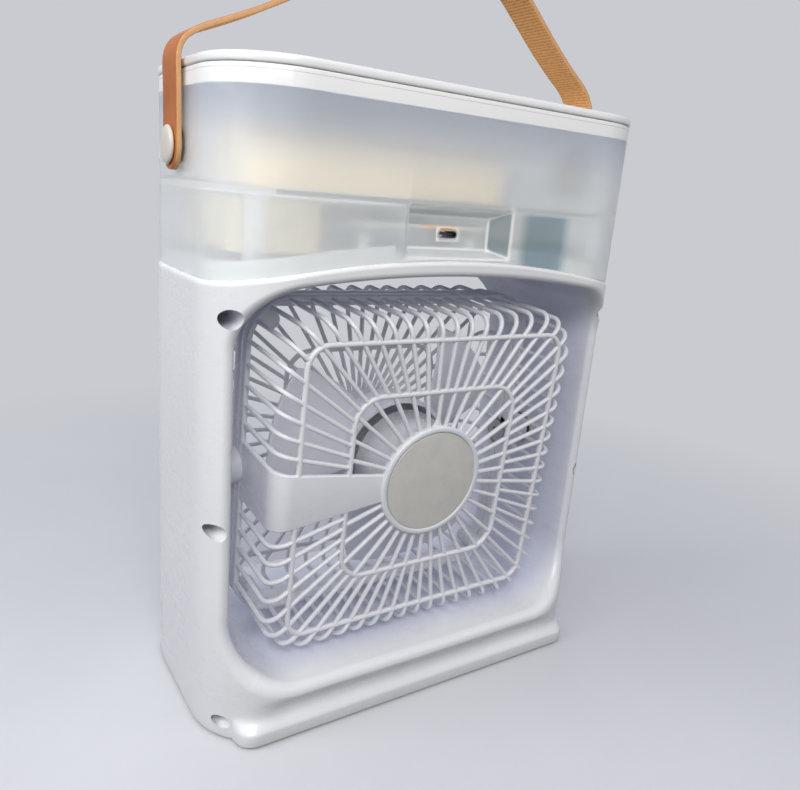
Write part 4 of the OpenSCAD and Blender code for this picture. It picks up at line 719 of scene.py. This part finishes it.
def buildTank():
    w, d, r, inner = tank["halfW"], tank["halfD"], tank["corner"], tank["wall"]
    low = ((0.9, 0.2), (0.3, 0.3), (0.08, 0.5), (0, 0.9), (0, 6))
    rows = [(inset, lambda x, up=up: jointHeight(x, up)) for inset, up in low]
    rows += [(0, 230.0), (0, 250.6), (0.1, 251.0), (0.35, 251.25), (0.7, 251.3)]
    piece = meshPiece("Tank", planSolid(w, d, r, rows, straight=12))
    size = (w - inner, d - inner, r - inner)
    upper = [(2.2, 213.8), (1.2, 214.0), (0.5, 214.5), (0.1, 215.2), (0, 216), (0, 262)]
    lower = [(0, 140), (0, 209.8), (0.15, 210.7), (0.6, 211.4), (1.4, 211.8)]
    combine(piece, [planSolid(*size, rows) for rows in (upper, lower)])
    lump = loft([pocketRing(y, 1.6, 2.6) for y in (39.4, 44, 49.2)])
    posts = [lathe([(0, 188.6), (3.3, 188.6), (3.6, 189), (3.6, 212.5), (0, 212.5)], (x, y, 0), segments=40)
             for x in (-81.5, 81.5) for y in (-36, 36)]
    combine(piece, [lump] + posts, "UNION")
    mouth = [(41.0, -1.2), (41.15, -0.55), (41.5, -0.15), (42.0, 0), (46, 0), (49.5, 0), (49.9, 0.08),
             (50.2, 0.35), (50.4, 0.8), (51.5, 1.6)]
    port = loft([ringAt(y, *pocket["port"], 2.29, 8) for y in (30, 45)])
    cutters = [loft([pocketRing(y, m, 1.7) for y, m in mouth]), port]
    cutters += [cylinderX(0, tank["rivetZ"], 2.55, s * 90, s * 100) for s in (-1, 1)]
    cutters += [cylinderY(x, tank["nozzleZ"], 5.2, -55, -46) for x in tank["nozzleX"]]
    combine(piece, cutters)
    piece.data.materials.append(paint["frosted_tank"])
    settle(piece, "root", "frosted_tank", "tank")


buildTank()


# Five spray rings on the front: a rounded flange and a short pipe
def buildNozzles():
    flange = [(4.0, -50.1), (4.0, -51.4), (4.3, -51.9), (4.9, -52.0), (6.3, -51.9), (6.9, -51.5),
              (7.2, -50.9), (7.2, -50.55), (5.0, -50.5), (5.0, -48.2), (4.0, -48.2), (4.0, -50.1)]
    parts = [lathe(flange, (x, 0, tank["nozzleZ"]), (0, 1, 0), 56) for x in tank["nozzleX"]]
    settle(meshPiece("NozzleRings", joined(parts), paint["white_abs"]), "root", "white_abs", "nozzle_rings")


buildNozzles()
print("tank made")


cover = {"halfW": 97.3, "halfD": 50.8, "corner": 29.8}
lid = {"halfW": 55.0, "halfD": 16.2, "y": -28.6, "hingeY": -10.5, "hingeZ": 254.0, "knuckle": 2.2}


# Rods on the hinge line over each span of x, on both sides
def hingeRods(r, spans, segments=32):
    return [cylinderX(lid["hingeY"], lid["hingeZ"], r, *sorted((s * a, s * b)), segments)
            for s in (-1, 1) for a, b in spans]


def buildCover():
    rows = [(0.7, 251.4), (0.32, 251.46), (0.1, 251.7), (0, 252.1), (0, 252.9), (0.05, 253.4), (0.2, 253.85),
            (0.5, 254.25), (0.95, 254.55), (1.5, 254.68), (2.1, 254.7), (3, 254.7)]
    size = cover["halfW"], cover["halfD"], cover["corner"]
    piece = meshPiece("TopCover", planSolid(*size, rows, straight=8, turn=20), paint["cover_abs"])
    skirt = [(0.5, 245.3), (0.1, 245.5), (0, 245.9), (0, 251.9)]
    ring = meshPiece("ring", planSolid(94.45, 47.95, 26.95, skirt, straight=8, turn=20))
    combine(ring, [planSolid(92.65, 46.15, 25.15, [(0, 240), (0, 251.2)])])
    combine(piece, [ring] + hingeRods(lid["knuckle"], ((10, 19.6), (34.4, 40))), "UNION")
    recess = [(0, 252.2), (0, 254.1), (-0.15, 254.5), (-0.55, 254.75), (-0.6, 262)]
    mouth = [(0, 238), (0, 262)]
    cutters = [planSolid(55.3, 16.5, 6.3, recess, (0, lid["y"])), planSolid(50, 12, 5, mouth, (0, lid["y"]))]
    cutters += [block(*sorted((s * 19.7, s * 34.3)), -14.5, -7.8, 250.4, 262.0) for s in (-1, 1)]
    combine(piece, cutters)
    settle(piece, "root", "cover_abs", "top_cover")


def buildLid():
    rows = [(0.3, 253.2), (0, 253.4), (0, 254.1), (0.15, 254.45), (0.5, 254.65), (1.0, 254.7)]
    piece = meshPiece("FillLid", planSolid(lid["halfW"], lid["halfD"], 6, rows, (0, lid["y"])),
                      paint["cover_abs"])
    plug = meshPiece("plug", planSolid(49.5, 11.5, 4.5, [(0.4, 249.2), (0, 249.6), (0, 253.6)],
                                       (0, lid["y"])))
    combine(plug, [planSolid(48, 10, 3, [(0, 245), (0, 253.2)], (0, lid["y"]))])
    blocks = [block(*sorted((s * 20, s * 34)), -13.5, -10.5, 253.2, 254.7) for s in (-1, 1)]
    combine(piece, [plug] + hingeRods(lid["knuckle"], ((20, 34),)) + blocks, "UNION")
    combine(piece, hingeRods(2.5, ((9.7, 19.9), (34.1, 40.3))) + hingeRods(1.06, ((10, 44),), 24))
    settle(piece, "fill_lid", "cover_abs", "fill_lid")


buildCover()
buildLid()
print("cover made")


strap = {"half": 8.5, "thick": 2.0}
strapLine = [(99, 217.3), (99, 225.8), (99, 238), (99.1, 248), (99.2, 252.6), (98.8, 256.8), (96.9, 260.6),
             (93, 263.6), (88.4, 266), (82.5, 268.6), (78, 270.6), (70, 274.4), (62, 278.6), (52, 283.9),
             (34, 294.2), (16, 305.4), (-2, 315.2), (-16, 319.4), (-28, 317.6), (-38, 311.4), (-45, 306.2),
             (-51.8, 301), (-61.5, 292.9), (-69.5, 286.2), (-78, 279.6), (-85, 274.6), (-91, 270.6),
             (-95, 266.6), (-97.6, 262.2), (-98.8, 257.2), (-99, 251), (-99, 240), (-99, 225.8), (-99, 217.3)]


# Smooth curve through points, a uniform Catmull-Rom spline with count steps a span: between b and c it is
# half of 2b + (c - a) t + (2a - 5b + 4c - d) t^2 + (3b - a - 3c + d) t^3
def smoothLine(points, count):
    p = np.asarray(points, float)
    p = np.vstack([2 * p[0] - p[1], p, 2 * p[-1] - p[-2]])
    t = np.linspace(0, 1, count, endpoint=False)[None, :, None]
    a, b, c, d = (p[i:len(p) - 3 + i, None] for i in range(4))
    line = 2 * b + (c - a) * t + (2 * a - 5 * b + 4 * c - d) * t ** 2 + (3 * b - a - 3 * c + d) * t ** 3
    return np.vstack([line.reshape(-1, p.shape[1]) / 2, p[-2]])


def buildStrap():
    line = smoothLine(strapLine, 8)
    at = np.concatenate([[0], np.cumsum(np.linalg.norm(np.diff(line, axis=0), axis=1))])
    half = strap["half"]
    # places along the strap, closer in its round ends, and its half width at each
    dense = np.concatenate([half - half * np.cos(np.linspace(0.06, math.pi / 2, 10)),
                            np.arange(9.5, at[-1] - 9, 1.2)])
    dense = np.concatenate([dense, at[-1] - dense[9::-1]])
    path = np.column_stack([np.interp(dense, at, line[:, 0]), 0 * dense, np.interp(dense, at, line[:, 1])])
    end = np.minimum(dense, at[-1] - dense)
    width = np.where(end < half, np.sqrt(np.clip(half ** 2 - (half - end) ** 2, 0, None)), half)
    # section with more points across its broad faces
    section = roundSection(2 * half, strap["thick"], 0.55, 3)
    fill = [np.column_stack([np.linspace(a, b, 8)[1:-1], np.full(6, y)])
            for a, b, y in ((7.95, -7.95, 1), (-7.95, 7.95, -1))]
    section = np.vstack([section[:4], fill[0], section[4:12], fill[1], section[12:]])
    points, faces = bar(path, (0, 1, 0), section, grow=np.maximum(width, 0.6))
    piece = meshPiece("Strap", (points, faces), paint["brown_leather"], sharp=60, outward=False)
    mesh = piece.data
    up = np.tile(section[:, 1], len(dense))
    along = np.column_stack([np.repeat(dense, len(section)), points[:, 1], up]) * mm
    side = np.where(up > 0.9, 0.0, np.where(up < -0.9, 1.0, 0.5))
    mesh.attributes.new("along", "FLOAT_VECTOR", "POINT").data.foreach_set("vector",
                                                                           along.astype(np.float32).ravel())
    mesh.attributes.new("face", "FLOAT", "POINT").data.foreach_set("value", side.astype(np.float32))
    settle(piece, "strap", "brown_leather", "strap")


buildStrap()


# Rivet caps: low domes with a rolled edge
def buildCaps():
    dome = [(0, 100.3), (6.3, 100.3), (6.65, 100.4), (6.75, 100.7), (6.68, 101.0), (6.4, 101.35),
            (5.7, 101.7), (4.4, 101.95), (2.6, 102.08), (0, 102.1)]
    parts = [lathe(dome, (0, 0, tank["rivetZ"]), (s, 0, 0), 64) for s in (-1, 1)]
    settle(meshPiece("RivetCaps", joined(parts), paint["rivet_plastic"]), "root", "rivet_plastic",
           "rivet_caps")


buildCaps()
print("strap made")


# Piece of the head from parts in its own coordinates (right, up, rear), leaning by its rest tilt about the
# pivot
def headPiece(name, parts, bodyName, slotName, node, **looks):
    points, faces = joined(parts)
    right, up, rear = points.T
    s, c = math.sin(head["lean"]), math.cos(head["lean"])
    points = np.column_stack([right, rear * c + up * s, head["pivot"] + up * c - rear * s])
    settle(meshPiece(name, (points, faces), paint[slotName], **looks), bodyName, slotName, node)


# Distance from the middle to a rounded square of half size h and corner c, at u degrees:
# along a flat h / cos f; at a corner k + root(k^2 - 2 m^2 + c^2), with m = h - c and k = m (cos f + sin f)
def squareReach(h, c, u):
    f = math.radians(abs(u - 90 * round(u / 90)))
    m = h - c
    k = m * (math.cos(f) + math.sin(f))
    return h / math.cos(f) if h * math.tan(f) <= m else k + math.sqrt(k * k - 2 * m * m + c * c)


# Rounded-square ring as a closed bar: half size, corner, width across, from and to along the axis,
# edge radius
def squareRing(h, c, w, c0, c1, r):
    centre, normal = planOutline(h - w / 2, h - w / 2, c - w / 2, 10, 10)
    path = np.column_stack([centre + (c - w / 2) * normal, np.full(len(centre), (c0 + c1) / 2)])
    return bar(path, np.column_stack([normal, 0 * normal[:, 0]]), roundSection(w, c1 - c0, r, 3), closed=True)


# Line out along the face at height face, round a bend and down the side at r1 to end, in the middle of
# thickness t
def bentLine(r0, r1, face, end, t, bend, counts):
    out = [(r, face - t / 2) for r in np.linspace(r0, r1 - bend, counts[0])]
    out += arc(r1 - bend, face - bend, bend - t / 2, 90, 0, counts[1])[1:].tolist()
    return np.array(out + [(r1 - t / 2, c) for c in np.linspace(face - bend, end, counts[2])[1:]])


# Bar in the upright plane at u degrees, along a line of (distance from the axis, height)
def spoke(line, u, section, grow=None):
    a = math.radians(u)
    path = np.column_stack([line[:, 0] * math.sin(a), line[:, 0] * math.cos(a), line[:, 1]])
    return bar(path, (math.cos(a), -math.sin(a), 0), section, grow=grow)


cage = {"half": 72.5, "corner": 19.0, "back": 40.5, "front": 26.0, "ringOut": 63.8, "ringIn": 41.5,
        "ear": 63.5, "bend": 8.0}
ribSection = roundSection(1.8, 2.0, 0.72, 3)


# Two rings on the face, from low to high, and the rim
def cageRings(low, high, rimLow, rimHigh):
    rings = (cage["ringOut"], 10, 2.1, low, high, 0.85), (cage["ringIn"], 13, 2.1, low, high, 0.85)
    return [squareRing(*ring) for ring in (*rings, (73.2, 19.7, 2.4, rimLow, rimHigh, 0.8))]


def cageEars(profile):
    places = (-cage["ear"], cage["ear"])
    return [lathe(profile, (x, y, 0), segments=32) for x in places for y in places]


# Rib at u degrees from r0 to the cage's side and down it
def cageRib(u, r0, face, flip=1):
    line = bentLine(r0, squareReach(cage["half"], cage["corner"], u), face, 5.2, 2.0, cage["bend"],
                    (9, 10, 5))
    return spoke(line * [1, flip], u, ribSection)


def buildCageRear():
    face = cage["back"]
    parts = cageRings(face - 2.2, face + 0.2, 0.3, 6)
    for u in range(0, 360, 10):
        if abs(u - 90) > 11:
            r = np.linspace(23.4, squareReach(cage["ringIn"], 13, u) - 1, 6)
            parts.append(spoke(np.column_stack([r, 0 * r + face - 1]), u, ribSection))
    for u in (180, 0):
        r = np.linspace(23.4, 29.2, 9)
        grow = 0.9 + 2.9 * np.clip((29 - r) / 5.4, 0, 1) ** 2
        parts.append(spoke(np.column_stack([r, 0 * r + face - 1]), u, roundSection(1.8, 1.9, 0.72, 3), grow))
    for k in range(64):
        u = 360 / 64 * (k + 0.5)
        u += 2 * math.sin(math.radians(4 * u))
        if abs(u - 90) > 10.4:
            parts.append(cageRib(u, squareReach(cage["ringIn"], 13, u) - 1, face))
    # cable arm: one broad curved plate from the hub to the rim
    arm = bentLine(23.4, 72.9, 40.8, 4.2, 2.2, cage["bend"], (16, 14, 10))
    wide = np.interp(arm[:, 0], [20, 63.8, 74.5], [5.8, 11.7, 13.3])
    path = np.column_stack([arm[:, 0], 0 * arm[:, 0], arm[:, 1]])
    parts.append(bar(path, (0, 1, 0), roundSection(2, 2.2, 0.8, 4), grow=wide))
    hub = [(0, 41.1), (22.5, 41.1), (22.72, 41.2), (22.8, 41.55), (23.05, 41.82), (23.5, 41.9), (24.3, 41.9),
           (24.8, 41.78), (25.1, 41.5), (25.2, 41.1), (25.2, 38.6), (25.0, 38.3), (23.2, 38.3), (23, 38.1),
           (23, 14.5), (22.6, 14.0), (21.2, 14.0), (20.8, 14.4), (20.8, 38.6), (0, 38.6)]
    parts.append(lathe(hub, segments=128))
    boss = [(4.1, 70.8), (8, 70.8), (8, 83.9), (7.8, 84.25), (7.5, 84.4), (4.6, 84.4), (4.2, 84.2),
            (4.1, 83.9), (4.1, 70.8)]
    parts += [lathe(boss, axis=(s, 0, 0), segments=56) for s in (-1, 1)]
    parts += cageEars([(1.45, 0.3), (3.8, 0.3), (4.0, 0.5), (4.0, 5.6), (3.6, 6.0), (0, 6.0), (0, 5),
                       (1.45, 5), (1.45, 0.3)])
    headPiece("CageRear", parts, "fan_head", "cage_abs", "cage_rear", sharp=40, merge=0.0001)


def buildCageFront():
    face = cage["front"]
    parts = cageRings(-face - 0.2, -face + 2.2, -6, 0)
    parts += [cageRib(7.5 * (k + 0.5), 17.2, face, -1) for k in range(48)]
    nose = [(0, -23.8), (18.6, -23.8), (19, -24.1), (19, -26.2), (18.7, -26.7), (18.0, -27.0), (0, -27.0)]
    parts.append(lathe(nose, segments=96))
    parts += cageEars([(1.65, 0), (3.8, 0), (4, -0.2), (4, -5.7), (3.7, -6), (2.9, -6), (2.9, -3), (1.65, -3),
                       (1.65, 0)])
    headPiece("CageFront", parts, "fan_head", "cage_abs", "cage_front", sharp=40, merge=0.0001)


def buildHubDisc():
    face = [(0, 41.12), (22.1, 41.12), (22.4, 41.2), (22.5, 41.45), (22.35, 41.66), (22.0, 41.72), (0, 41.72)]
    headPiece("HubDisc", [lathe(face, segments=96)], "fan_head", "label_disc", "hub_disc")


impeller = {"root": 25.6, "tip": 62.0, "start": 34.0, "sweep": 15.0, "span": 62.0, "rise": 17.0, "mid": 5.0,
            "thick": 1.8}


# Blade section ring at radius share f: up one side over q = 0..1 and back the other;
# angle = start + sweep f^1.3 + span (1 - 0.06 f) q, height = mid + (q - 1/2) rise (1 - f/4),
# half thickness = thick / 2 times root(1 - (2 q - 1)^8), less by the tuck at the tip
def bladeRing(f, turn, tuck):
    q = 0.5 - 0.5 * np.cos(np.linspace(0, math.pi, 41))
    r = impeller["root"] + (impeller["tip"] - impeller["root"]) * f
    u = turn + impeller["start"] + impeller["sweep"] * f ** 1.3 + impeller["span"] * (1 - 0.06 * f) * q
    u = np.radians(u)
    half = impeller["thick"] / 2 * (1 - tuck) * np.sqrt(np.clip(1 - (2 * q - 1) ** 8, 0, 1))
    c = impeller["mid"] + (q - 0.5) * impeller["rise"] * (1 - 0.25 * f)
    both = [np.column_stack([r * np.sin(u), r * np.cos(u), c + s * half]) for s in (1, -1)]
    return np.vstack([both[0], both[1][-2:0:-1]])


def buildImpeller():
    share = [0.0] + np.linspace(0.03, 0.975, 22).tolist() + [0.988, 0.996, 1.0]
    tuck = [0.0] * 23 + [0.15, 0.45, 0.85]
    parts = [loft([bladeRing(f, turn, t) for f, t in zip(share, tuck)]) for turn in (0, 120, 240)]
    cup = [(1.2, -5), (25.8, -5), (26.6, -4.7), (27, -3.9), (27, 11.6), (26.8, 12), (25.2, 12), (25, 11.7),
           (25, -2.4), (24.4, -3.0), (4, -3.0), (4, 4), (1.2, 4), (1.2, -5)]
    parts.append(lathe(cup, segments=96))
    headPiece("Impeller", parts, "impeller", "impeller_abs", "impeller", sharp=40, merge=0.0001)


buildCageRear()
buildCageFront()
buildHubDisc()
buildImpeller()
print("fan head made")


# Button: a stadium with a softly domed front, a wider collar behind the wall and a round stem
def buildButton(name, bodyName):
    x, z = buttons["x"][bodyName], buttons["z"]
    rows = [(-47.8, 14, 6), (-51.4, 14, 6), (-51.9, 13.8, 5.8), (-52.1, 13.3, 5.3), (-52.17, 12.2, 4.2),
            (-52.2, 9, 1.4)]
    parts = [loft([ringAt(y, x, z, w, h, h / 2 - 0.01, 10) for y, w, h in rows]),
             loft([ringAt(y, x, z, 16, 8, 2.99, 8) for y in (-48.3, -47.3)]),
             cylinderY(x, z, 2, -47.5, -45.8, 32)]
    settle(meshPiece(name, joined(parts), paint["button_abs"]), bodyName, "button_abs", bodyName)


buildButton("PowerButton", "power_button")
buildButton("MistButton", "mist_button")
buildButton("LightButton", "light_button")
print("buttons made")


view = {"lens": 32.921, "yaw": 33.83, "pitch": 15.36, "roll": -4.802, "place": (0.17774, 0.27633, 0.21568)}
yaw, pitch, roll = (math.radians(view[k]) for k in ("yaw", "pitch", "roll"))
ahead = np.array([-math.sin(yaw) * math.cos(pitch), -math.cos(yaw) * math.cos(pitch), -math.sin(pitch)])
right = np.cross(ahead, [0, 0, 1])
right /= np.linalg.norm(right)
down = np.cross(ahead, right)
across = math.cos(roll) * right + math.sin(roll) * down
below = -math.sin(roll) * right + math.cos(roll) * down
lens = bpy.data.cameras.new("Camera")
lens.lens = view["lens"]
lens.sensor_width = 36
lens.clip_start = 0.01
camera = bpy.data.objects.new("Camera", lens)
turned = Matrix(np.column_stack([across, -below, -ahead]).tolist()).to_4x4()
camera.matrix_world = Matrix.Translation(view["place"]) @ turned
bpy.context.scene.collection.objects.link(camera)
bpy.context.scene.camera = camera

backdrop = "#c9cbd0"


def softLight(name, place, aim, size, power, colour):
    data = bpy.data.lights.new(name, "AREA")
    data.shape, data.size, data.size_y = "RECTANGLE", size[0], size[1]
    data.energy, data.color = power, linear(colour)[:3]
    lamp = bpy.data.objects.new(name, data)
    lamp.location = place
    lamp.rotation_euler = (Vector(aim) - Vector(place)).to_track_quat("-Z", "Y").to_euler()
    bpy.context.scene.collection.objects.link(lamp)


softLight("KeyLight", (0.3, 0.52, 0.58), (0, 0, 0.2), (0.4, 0.28), 2.95, "#fffefa")
softLight("FillLight", (-0.5, 0.6, 0.5), (0, 0, 0.2), (0.4, 0.4), 0.5, "#fff8ea")
softLight("BackLight", (-0.45, -1.1, 0.9), (0, 0, 0.12), (1.0, 0.8), 1.9, "#e6eaff")
softLight("SideLight", (1.05, -0.2, 0.72), (0, 0, 0.12), (0.6, 0.5), 4.5, "#f9faff")
softLight("EdgeLight", (0.65, 0.2, 0.42), (0, 0, 0.18), (0.4, 0.4), 0.85, "#fffdf8")


# 1 for the rays that show the backdrop: camera, glossy and transmission rays
def seesBackdrop(tree):
    camera, glossy, clear = (addNode("LightPath", tree=tree, out="Is %s Ray" % kind)
                             for kind in ("Camera", "Glossy", "Transmission"))
    return addNode("Math", addNode("Math", camera, glossy, operation="MAXIMUM"), clear, operation="MAXIMUM")


world = bpy.data.worlds.new("World")
bpy.context.scene.world = world
world.use_nodes = True
sky = world.node_tree
sky.nodes.clear()
seen = addNode("Background", backdrop, 1.0, tree=sky)
glow = addNode("Background", "#ebedfd", 0.43, tree=sky)
addNode("OutputWorld", addNode("MixShader", seesBackdrop(sky), glow, seen))

# Floor: fine mottling near the object, fading with distance from the middle to the backdrop's own colour
material, where = newMaterial("floor")
tree = material.node_tree
mottle = addNode("TexNoise", where, 5.0, 6.0, 0.6)
grit = addNode("TexNoise", where, 900.0, 3.0, 0.6)
tone = addNode("Mix", addNode("MapRange", mottle, 0.3, 0.7), "#dcdde0", "#d5d6da", data_type="RGBA")
wire(material, colour=tone, rough=addNode("MapRange", grit, 0.3, 0.7, 0.5, 0.62), spec=0.3,
     normal=addNode("Bump", Height=grit, Strength=0.3, Distance=0.00006))
length = addNode("VectorMath", where, operation="LENGTH", out="Value")
takeOver(addNode("MapRange", length, 0.14, 0.5), addNode("Emission", backdrop, 1.0, tree=tree))
takeOver(addNode("LightPath", tree=tree, out="Is Diffuse Ray"), addNode("BsdfDiffuse", "#26272a", tree=tree))
radii = np.array([0.0, 300, 700, 1500, 4000, 30000])
floor = meshPiece("Floor", lathe(np.column_stack([radii, 0 * radii]), segments=64), material)

scene = bpy.context.scene
scene.view_settings.view_transform = "Standard"
scene.cycles.max_bounces = 14
scene.cycles.transmission_bounces = 12
scene.cycles.transparent_max_bounces = 12
